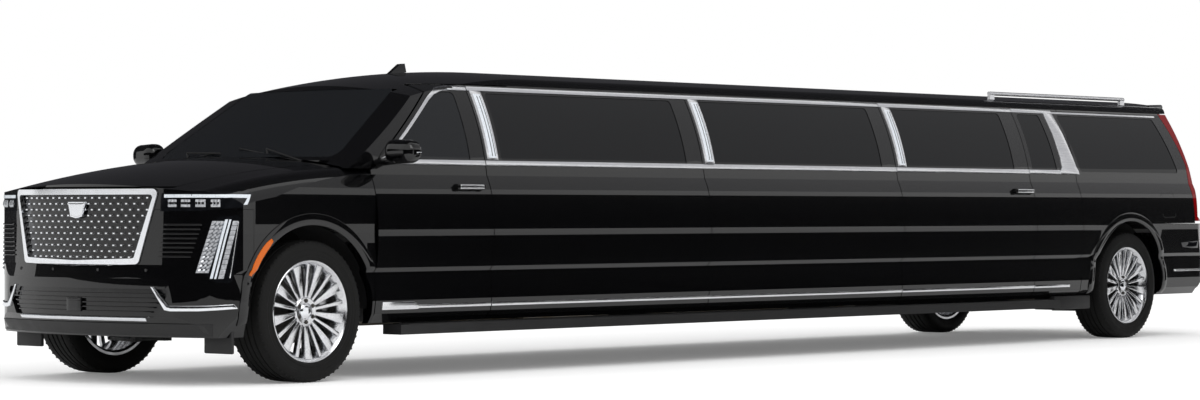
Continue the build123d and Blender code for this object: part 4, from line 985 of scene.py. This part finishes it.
# door mirrors: a gloss housing on an arm, a bright signal strip, a glass and the sail at the window corner
mirror = {
    "low": (4.000, 1.035, 1.290), "high": (4.152, 1.260, 1.444), "radius": 0.060,
    "sweepBack": 0.020, "waistZ": 1.368, "taper": (0.012, -0.0096),
    "arm": ((4.095, 0.955, 1.300), (4.080, 1.120, 1.318)), "armSize": (0.045, 0.020), "armEdge": 0.012,
    "glass": ((3.996, 1.075, 1.328), (4.004, 1.205, 1.405), 0.004),
    "signal": ((4.030, 1.215, 1.356), (4.075, 1.262, 1.364), 0.0035),
    "sailLow": [(-0.612, 1.326), (-0.665, 1.326), (-0.735, 1.326)],
    "sailHigh": [(-0.640, 1.358), (-0.680, 1.392), (-0.735, 1.438)], "sailProud": 0.004, "sailEdge": 0.001,
}


def softBox(builder, low, high, radius, cuts=7, crown=0.0):
    # a block with fully round edges, each face swelling by the crown in its middle
    before = set(builder.verts)
    made = bmesh.ops.create_cube(builder, size=2)["verts"]
    bmesh.ops.subdivide_edges(builder, edges=edgesOf(made), cuts=cuts, use_grid_fill=True)
    fresh = [vert for vert in builder.verts if vert not in before]
    middle, half = (Vector(low) + Vector(high)) / 2, (Vector(high) - Vector(low)) / 2
    for vert in fresh:
        part = vert.co.copy()
        swell = Vector()
        for axis in range(3):
            a, b = (axis + 1) % 3, (axis + 2) % 3
            if abs(part[axis]) > 0.999:
                swell[axis] = math.copysign(crown * (1 - part[a] ** 2) * (1 - part[b] ** 2), part[axis])
        outer = Vector(part[i] * half[i] for i in range(3))
        inner = Vector(max(-(half[i] - radius), min(half[i] - radius, outer[i])) for i in range(3))
        edgeWay = outer - inner
        if edgeWay.length > radius:
            edgeWay = edgeWay.normalized() * radius
        vert.co = middle + inner + edgeWay + swell
    return fresh


def mirrorHousing(builder):
    low, high = mirror["low"], mirror["high"]
    for vert in softBox(builder, low, high, mirror["radius"], 11):
        outward, forward = ((vert.co[i] - low[i]) / (high[i] - low[i]) for i in (1, 0))
        vert.co.x -= mirror["sweepBack"] * outward * forward
        vert.co.z -= mirror["taper"][0 if vert.co.z > mirror["waistZ"] else 1] * outward


def mirrorArm(builder):
    start, end = (Vector(place) for place in mirror["arm"])
    width, height = mirror["armSize"]
    middle, size = (start + end) / 2, Vector((width, (end - start).length / 2, height))
    turn = (end - start).to_track_quat("Y", "Z").to_matrix()
    roundedBlock(builder, middle - size, middle + size, mirror["armEdge"], 3, turn)


mirrorSail = strip(fromAxle, mirror["sailLow"], mirror["sailHigh"], mirror["sailProud"], mirror["sailEdge"])
for piece in addBothSides("mirrorHousing", mirrorHousing, blackPaint, "front_door"):
    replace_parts(piece, "mirror_" + piece.name.split(".")[1])
addBothSides("mirrorArm", mirrorArm, glossPlastic, "front_door")
addBothSides("mirrorGlass", block(*mirror["glass"]), chromePlate, "front_door")
addBothSides("mirrorSignal", block(*mirror["signal"]), chromePlate, "front_door")
addBothSides("mirrorSail", mirrorSail, glossPlastic, "front_door")

# windscreen wipers, lying low on the glass
screenSkin = skinOf("windscreen", "cowl_panel", "hood")
wipers = {"offGlass": Vector((0.35, 0, 0.94)), "pivots": (0.60, -0.12), "armX": (4.385, 4.350),
          "armReach": 0.34, "armLift": (0.012, 0.022), "armRadius": (0.007, 0.005), "bladeX": (4.372, 4.338),
          "bladeReach": (0.06, 0.60), "bladeLift": 0.010, "bladeRadius": (0.0055, 0.0045),
          "jointRadius": 0.006}


def screenPoint(x, y, lift):
    place = screenSkin.ray_cast(Vector((x, y, 2.5)), Vector((0, 0, -1)))[0]
    return place + wipers["offGlass"] * lift


def wiperShape(builder):
    for pivot in wipers["pivots"]:
        armStart = screenPoint(wipers["armX"][0], pivot, wipers["armLift"][0])
        armEnd = screenPoint(wipers["armX"][1], pivot - wipers["armReach"], wipers["armLift"][1])
        bladeStart, bladeEnd = (screenPoint(x, pivot - reach, wipers["bladeLift"])
                                for x, reach in zip(wipers["bladeX"], wipers["bladeReach"]))
        rod(builder, armStart, armEnd, *wipers["armRadius"])
        rod(builder, bladeStart, bladeEnd, *wipers["bladeRadius"], 10)
        rod(builder, (bladeStart + bladeEnd) / 2, armEnd, wipers["jointRadius"])


addShape("wipers", wiperShape, grainedPlastic)

# tail: roof lip, corner strips, reflectors, blank plate, rear wiper, exhaust tips and fuel door
roofLip = {"low": (-5.395, -0.665, 1.835), "high": (-5.175, 0.665, 1.878), "edge": 0.018, "pitch": 4}
cornerStrip = {"low": [(x, 0.520) for x in (-4.99, -5.10, -5.22, -5.34, -5.40)],
               "high": [(x, 0.538) for x in (-4.985, -5.10, -5.22, -5.34, -5.40)],
               "proud": 0.007, "edge": 0.002}
reflector = {"low": [(-5.10, 0.716), (-5.24, 0.706), (-5.34, 0.706)],
             "high": [(-5.07, 0.752), (-5.24, 0.762), (-5.34, 0.764)], "proud": 0.003, "edge": 0.001}
plate = {"half": 0.156, "low": 0.985, "high": 1.145, "border": 0.014}
fuelDoor = {"x": (-4.79, -4.99), "z": (0.955, 1.150), "radius": 0.030, "line": 0.004, "proud": 0.0004}
lipTurn = Matrix.Rotation(math.radians(roofLip["pitch"]), 3, "Y")
addShape("roofLip", block(roofLip["low"], roofLip["high"], roofLip["edge"], 3, lipTurn),
         blackPaint, "tailgate")
addBothSides("rearCornerStrip", strip(sidePoint, fill(cornerStrip["low"]), fill(cornerStrip["high"]),
                                      cornerStrip["proud"], cornerStrip["edge"]), brightTrim)
addBothSides("rearReflectors", strip(sidePoint, reflector["low"], reflector["high"], reflector["proud"],
                                     reflector["edge"]), lampHousing)

# strips across the tail: name, half width, low and high edge, how far they stand out, then the finish
tailEdge = 0.002
tailStrips = (
    ("rearBumperStrip", 0.88, 0.520, 0.538, 0.007, brightTrim),
    ("rearBumperPad", 0.62, 0.800, 0.870, 0.004, grainedPlastic),
    ("plateFrame", plate["half"] + plate["border"], plate["low"] - plate["border"],
     plate["high"] + plate["border"], 0.006, glossPlastic, "tailgate"),
    # the blank plate takes the light guide's finish, so it glows faintly: a painted glow, as the plate holds no
    # lamp
    ("blankPlate", plate["half"], plate["low"], plate["high"], 0.009, lightGuide, "tailgate"),
    ("tailgateGrip", 0.36, 1.245, 1.268, 0.010, brightTrim, "tailgate"),
)
for name, half, low, high, proud, *finish in tailStrips:
    addShape(name, levelStrip(tailPoint, spread(-half, half, 20), low, high, proud, tailEdge), *finish)


def fuelDoorLine(inset):
    # round the door's edge with turned corners, six steps to each
    (x0, x1), (z0, z1), radius = fuelDoor["x"], fuelDoor["z"], fuelDoor["radius"]
    made = []
    for i in range(25):
        quarter = min(i, 23) // 6
        angle = math.radians(15 * i)
        x = (x0 - radius) if quarter in (0, 3) else (x1 + radius)
        z = (z1 - radius) if quarter in (0, 1) else (z0 + radius)
        made.append((x + (radius - inset) * math.cos(angle), z + (radius - inset) * math.sin(angle)))
    return made


fuelDoorShape = strip(sidePoint, fuelDoorLine(0.0), fuelDoorLine(fuelDoor["line"]), fuelDoor["proud"], 0)
addShape("fuelDoorSeam", fuelDoorShape, grainedPlastic)

# rear wiper: places across and up the tailgate glass, and how far each end stands off it
rearWiper = {"pivot": (0.02, 1.44), "tip": (-0.36, 1.50), "blade": (-0.10, 1.455),
             "bladeEnd": (-0.008, -0.03, 0.004), "armLift": (-0.020, -0.012), "bladeLift": -0.008,
             "hub": -0.026, "radii": (0.007, 0.004, 0.005, 0.016)}


def rearWiperShape(builder):
    pivot, tip, blade = (tailPoint(*rearWiper[key]) for key in ("pivot", "tip", "blade"))
    armStart, armEnd, bladeStart, hubEnd = (
        place + Vector((lift, 0, 0)) for place, lift in
        zip((pivot, tip, blade, pivot), (*rearWiper["armLift"], rearWiper["bladeLift"], rearWiper["hub"])))
    thick, thin, bladeRadius, hubRadius = rearWiper["radii"]
    rod(builder, armStart, armEnd, thick, thin)
    rod(builder, bladeStart, tip + Vector(rearWiper["bladeEnd"]), bladeRadius)
    rod(builder, pivot, hubEnd, hubRadius)


addShape("rearWiper", rearWiperShape, grainedPlastic, "tailgate")
tips = {"low": (tailEnd + 0.012, 0.538, 0.338), "high": (tailEnd + 0.16, 0.662, 0.392), "edge": 0.014,
        "wall": 0.005, "depth": 0.09, "faceArea": 0.0004}


def tipShape(builder):
    roundedBlock(builder, tips["low"], tips["high"], tips["edge"], 3)
    ends = [face for face in builder.faces if face.normal.x < -0.9 and face.calc_area() > tips["faceArea"]]
    bmesh.ops.inset_region(builder, faces=ends, thickness=tips["wall"])
    deep = bmesh.ops.extrude_face_region(builder, geom=ends)["geom"]
    bmesh.ops.translate(builder, verts=vertsIn(deep), vec=(tips["depth"], 0, 0))
    bmesh.ops.delete(builder, geom=ends, context="FACES")


addBothSides("exhaustTips", tipShape, exhaustSteel)
print("mirrors and tail made")

# cabin: padded seats, steering wheel, inside mirror
frontSeat = {
    "y": (0.17, 0.72), "cushion": (3.035, 3.580, 0.690, 0.850), "back": (2.860, 3.050, 0.800, 1.275),
    "rest": (2.880, 2.985, 1.295, 1.430), "restHalf": 0.135, "bolster": 0.115, "rise": 0.018,
    "pad": (0.045, 0.012), "restPad": (0.040, 0.010),
    "base": (2.98, 3.50, 0.478, 0.700), "baseHalf": 0.22, "baseEdge": 0.02,
    "rod": {"x": 2.93, "z": (1.25, 1.32), "offset": 0.05, "radius": 0.006},
}
# runs of equal seats in the long cabin; a back reaches behind its cushion's rear edge and over it
lounge = {
    "gap": 0.002, "pad": (0.045, 0.014),
    "side": {"x": (-1.10, 2.40), "count": 7, "y": (-0.78, -0.38), "backY": (-0.88, -0.74),
             "seat": (0.64, 0.850), "back": (0.820, 1.220)},
    "rear": {"y": (-0.70, 0.70), "count": 3, "x": (-3.30, -2.78), "backX": (-3.42, -3.27),
             "seat": (0.64, 0.850), "back": (0.820, 1.35)},
    "bases": (((-1.08, -0.87, 0.478), (2.38, -0.42, 0.655)), ((-3.28, -0.68, 0.478), (-2.82, 0.68, 0.655))),
    "baseEdge": 0.012,
}


def padPiece(name, blocks, replaced):
    def shape(builder):
        for low, high, radius, crown in blocks:
            softBox(builder, low, high, radius, 8, crown)
    piece = addShape(name, shape, leather, sharp=60)
    smooth = piece.modifiers.new("smooth", "SUBSURF")
    smooth.levels = smooth.render_levels = 1
    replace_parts(piece, replaced)


def frontSeatBlocks(side):
    (y0, y1), bolster, rise = frontSeat["y"], frontSeat["bolster"], frontSeat["rise"]
    made = []
    inner, outer = y0 + bolster, y1 - bolster
    for start, stop, lift in ((y0, inner, rise), (inner, outer, 0.0), (outer, y1, rise)):
        low, high = sorted((side * start, side * stop))
        x0, x1, z0, z1 = frontSeat["cushion"]
        made.append(((x0, low, z0), (x1, high, z1 - rise + lift), *frontSeat["pad"]))
        x0, x1, z0, z1 = frontSeat["back"]
        made.append(((x0, low, z0), (x1 - rise + lift, high, z1), *frontSeat["pad"]))
    middle, half = side * (y0 + y1) / 2, frontSeat["restHalf"]
    x0, x1, z0, z1 = frontSeat["rest"]
    return made + [((x0, middle - half, z0), (x1, middle + half, z1), *frontSeat["restPad"])]


def loungeBlocks():
    made = []
    run = lounge["side"]
    for x0, x1 in stations(*run["x"], run["count"], lounge["gap"]):
        for y, z in ((run["y"], run["seat"]), (run["backY"], run["back"])):
            made.append(((x0, y[0], z[0]), (x1, y[1], z[1]), *lounge["pad"]))
    run = lounge["rear"]
    for y0, y1 in stations(*run["y"], run["count"], lounge["gap"]):
        for x, z in ((run["x"], run["seat"]), (run["backX"], run["back"])):
            made.append(((x[0], y0, z[0]), (x[1], y1, z[1]), *lounge["pad"]))
    return made


def stations(start, stop, count, gap):
    # equal spans with a gap between them
    ends = spread(start, stop, count)
    return [(a + gap, b - gap) for a, b in zip(ends, ends[1:])]


def frontSeatBase(builder):
    x0, x1, z0, z1 = frontSeat["base"]
    half, post = frontSeat["baseHalf"], frontSeat["rod"]
    for side in (-1, 1):
        middle = side * sum(frontSeat["y"]) / 2
        roundedBlock(builder, (x0, middle - half, z0), (x1, middle + half, z1), frontSeat["baseEdge"])
        for y in (middle - post["offset"], middle + post["offset"]):
            rod(builder, (post["x"], y, post["z"][0]), (post["x"], y, post["z"][1]), post["radius"])


def loungeBase(builder):
    for low, high in lounge["bases"]:
        roundedBlock(builder, low, high, lounge["baseEdge"])


padPiece("frontSeatPads", frontSeatBlocks(-1) + frontSeatBlocks(1), "front_seats")
addShape("frontSeatBases", frontSeatBase, grainedPlastic)
padPiece("loungePads", loungeBlocks(), "lounge_seats")
addShape("loungeBases", loungeBase, grainedPlastic)

steering = {"centre": Vector((3.668, 0.400, 1.0905)), "radius": 0.173, "rim": 0.0165,
            "lean": math.atan2(0.092, 0.1775), "spokes": (0, 180, 270), "spokeStart": 0.03,
            "spokeHalf": 0.020, "spokeZ": (-0.012, 0.004), "spokeEdge": 0.005,
            "pad": ((-0.070, -0.060, -0.035), (0.070, 0.050, 0.020), 0.022)}


def steeringShape(builder):
    circle = bmesh.ops.create_circle(builder, segments=14, radius=steering["rim"])["verts"]
    bmesh.ops.rotate(builder, verts=circle, cent=(0, 0, 0), matrix=Matrix.Rotation(math.pi / 2, 3, "X"))
    bmesh.ops.translate(builder, verts=circle, vec=(steering["radius"], 0, 0))
    bmesh.ops.spin(builder, geom=circle + edgesOf(circle), cent=(0, 0, 0), axis=(0, 0, 1), angle=math.tau,
                   steps=64, use_merge=True)
    bmesh.ops.remove_doubles(builder, verts=builder.verts[:], dist=seam)
    half, (low, high) = steering["spokeHalf"], steering["spokeZ"]
    for angle in steering["spokes"]:
        before = set(builder.verts)
        roundedBlock(builder, (steering["spokeStart"], -half, low), (steering["radius"], half, high),
                     steering["spokeEdge"])
        fresh = [vert for vert in builder.verts if vert not in before]
        turn = Matrix.Rotation(math.radians(angle), 3, "Z")
        bmesh.ops.rotate(builder, verts=fresh, cent=(0, 0, 0), matrix=turn)
    softBox(builder, *steering["pad"], 8)
    turn = (Matrix.Rotation(steering["lean"], 4, "Y") @ Matrix.Rotation(-math.pi / 2, 4, "Y")
            @ Matrix.Rotation(math.pi / 2, 4, "Z"))
    bmesh.ops.transform(builder, matrix=Matrix.Translation(steering["centre"]) @ turn, verts=builder.verts)


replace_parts(addShape("steeringRim", steeringShape, leather, "steering_wheel", sharp=50), "steering_wheel")
insideMirror = {"glass": ((3.775, -0.130, 1.600), (3.805, 0.130, 1.668), 0.014),
                "stalk": ((3.80, 0, 1.64), (3.86, 0, 1.69), 0.010)}


def insideMirrorShape(builder):
    softBox(builder, *insideMirror["glass"], 8)
    rod(builder, *insideMirror["stalk"])


addShape("insideMirror", insideMirrorShape, glossPlastic)

# ribbed treads on the running boards, and the blocks that close the sill ahead of the rear wheels
tread = {"x": (-3.20, 3.90), "y": (0.895, 0.935, 0.975, 1.012), "width": 0.016, "low": 0.316, "high": 0.327}
sillEnd = {"low": (-3.775, 0.800, 0.245), "high": (-3.262, 0.988, 0.350), "edge": 0.010}


def treadShape(builder):
    (x0, x1), half = tread["x"], tread["width"] / 2
    for y in tread["y"]:
        roundedBlock(builder, (x0, y - half, tread["low"]), (x1, y + half, tread["high"]), trimEdge)


addBothSides("sillEnds", block(sillEnd["low"], sillEnd["high"], sillEnd["edge"]), grainedPlastic)
addBothSides("boardTreads", treadShape, grainedPlastic)
print("cabin made")

# long lens beside the nose, low down, as in the photo
cameraSettings = {
    "place": (18.277, 15.002, 1.017),
    "turn": 40.88,          # degrees between the view line and the car's length
    "lens": 99.1,
    "sensor": 36.0,
    "shiftUp": 0.0082,
    "reach": 200.0,
}
cameraData = bpy.data.cameras.new("studioCamera")
cameraData.lens = cameraSettings["lens"]
cameraData.sensor_width = cameraSettings["sensor"]
cameraData.shift_y = cameraSettings["shiftUp"]
cameraData.clip_end = cameraSettings["reach"]
studioCamera = bpy.data.objects.new("studioCamera", cameraData)
bpy.context.scene.collection.objects.link(studioCamera)
studioCamera.location = cameraSettings["place"]
studioCamera.rotation_euler = (math.radians(90), 0, math.radians(90 + cameraSettings["turn"]))
bpy.context.scene.camera = studioCamera


def stageObject(name, builder, material):
    mesh = bpy.data.meshes.new(name)
    builder.to_mesh(mesh)
    builder.free()
    mesh.materials.append(material)
    made = bpy.data.objects.new(name, mesh)
    bpy.context.scene.collection.objects.link(made)
    return made


# matt pale floor, left white to the camera away from the car's own shadow
floorSettings = {"size": 90.0, "colour": "ffffff", "lift": 0.16}
builder = bmesh.new()
bmesh.ops.create_grid(builder, x_segments=1, y_segments=1, size=floorSettings["size"])
floorMaterial, floorTree = startMaterial("mattPaleFloor")
floorRays = addNode(floorTree, "LightPath")
floorLift = addNode(floorTree, "Math", {"operation": "MULTIPLY", 1: floorSettings["lift"]},
                    {0: floorRays.outputs["Is Camera Ray"]})
floorGlow = addNode(floorTree, "Emission", links={"Strength": floorLift.outputs[0]})
floorShade = addNode(floorTree, "BsdfDiffuse", {"Color": linear(floorSettings["colour"])})
floorSum = addNode(floorTree, "AddShader", links={0: floorShade.outputs[0], 1: floorGlow.outputs[0]})
addNode(floorTree, "OutputMaterial", links={"Surface": floorSum.outputs[0]})
stageObject("studioFloor", builder, floorMaterial)

# dark, grey and pale cards seen only in mirror reflections, so that black paint reads black in a white room
cardThickness = 0.01
cards = {
    "leftLow": ((-5.95, 2.35, 0.02), (2.90, 2.35, 0.800), "0c0c0e"),
    "leftRear": ((-9.80, 2.35, 0.02), (-6.95, 2.35, 0.800), "0c0c0e"),
    "leftHigh": ((-9.80, 2.35, 0.925), (3.90, 2.35, 1.620), "0c0c0e"),
    "leftTop": ((-12.0, 2.35, 2.020), (4.20, 2.35, 5.000), "c4c4c6"),
    "frontLeft": ((4.60, 5.00, 0.385), (9.00, 5.00, 2.20), "0c0c0e"),
    "frontCorner": ((9.00, -0.50, 0.385), (9.00, 5.00, 2.20), "0c0c0e"),
    "frontBrow": ((9.00, -9.0, 0.385), (9.00, -0.50, 0.520), "0c0c0e"),
    "frontTop": ((9.00, -9.0, 1.450), (9.00, -0.50, 2.200), "0c0c0e"),
    "ceiling": ((-16.0, -6.0, 6.00), (7.0, 1.50, 6.00), "3a3a3d"),
    "farSide": ((-22.0, -6.0, 0.60), (6.5, -6.0, 6.00), "3a3a3d"),
}
cardMaterials = {}
for shade in ("0c0c0e", "3a3a3d", "c4c4c6"):
    cardMaterials[shade], cardTree = startMaterial(f"studioCard.{shade}")
    cardShade = addNode(cardTree, "Emission", {"Color": linear(shade)})
    addNode(cardTree, "OutputMaterial", links={"Surface": cardShade.outputs[0]})
for name, (low, high, shade) in cards.items():
    builder = bmesh.new()
    made = bmesh.ops.create_cube(builder, size=1)["verts"]
    size = [max(b - a, cardThickness) for a, b in zip(low, high)]
    bmesh.ops.scale(builder, verts=made, vec=size)
    bmesh.ops.translate(builder, verts=made, vec=(Vector(low) + Vector(high)) / 2)
    card = stageObject(f"darkCard.{name}", builder, cardMaterials[shade])
    for ray in ("camera", "diffuse", "shadow", "transmission"):
        setattr(card, f"visible_{ray}", False)

# even white room: full white to the lens and in reflections, softer as light
worldSettings = {"seen": 1.0, "light": 0.95}
world = bpy.data.worlds.new("whiteStudio")
bpy.context.scene.world = world
world.use_nodes = True
worldTree = world.node_tree
worldTree.nodes.clear()
rays = addNode(worldTree, "LightPath")
seen = addNode(worldTree, "Math", {"operation": "MAXIMUM"},
               {0: rays.outputs["Is Camera Ray"], 1: rays.outputs["Is Glossy Ray"]})
seenAll = addNode(worldTree, "Math", {"operation": "MAXIMUM"},
                  {0: seen.outputs[0], 1: rays.outputs["Is Transmission Ray"]})
soft = addNode(worldTree, "Background", {"Color": (1, 1, 1, 1), "Strength": worldSettings["light"]})
plain = addNode(worldTree, "Background", {"Color": (1, 1, 1, 1), "Strength": worldSettings["seen"]})
worldMix = addNode(worldTree, "MixShader",
                   links={"Fac": seenAll.outputs[0], 1: soft.outputs[0], 2: plain.outputs[0]})
addNode(worldTree, "OutputWorld", links={"Surface": worldMix.outputs[0]})

# one broad lamp high on the left, for a soft key and a faint shadow
keyLight = {"place": (6.0, 9.0, 8.0), "aim": (0.0, 0.0, 0.6), "size": 6.0, "power": 260}
lampData = bpy.data.lights.new("keyLight", "AREA")
lampData.size = keyLight["size"]
lampData.energy = keyLight["power"]
lamp = bpy.data.objects.new("keyLight", lampData)
bpy.context.scene.collection.objects.link(lamp)
lamp.location = keyLight["place"]
lamp.rotation_euler = (Vector(keyLight["aim"]) - lamp.location).to_track_quat("-Z", "Y").to_euler()

bpy.context.scene.view_settings.view_transform = "Standard"
print("studio ready")
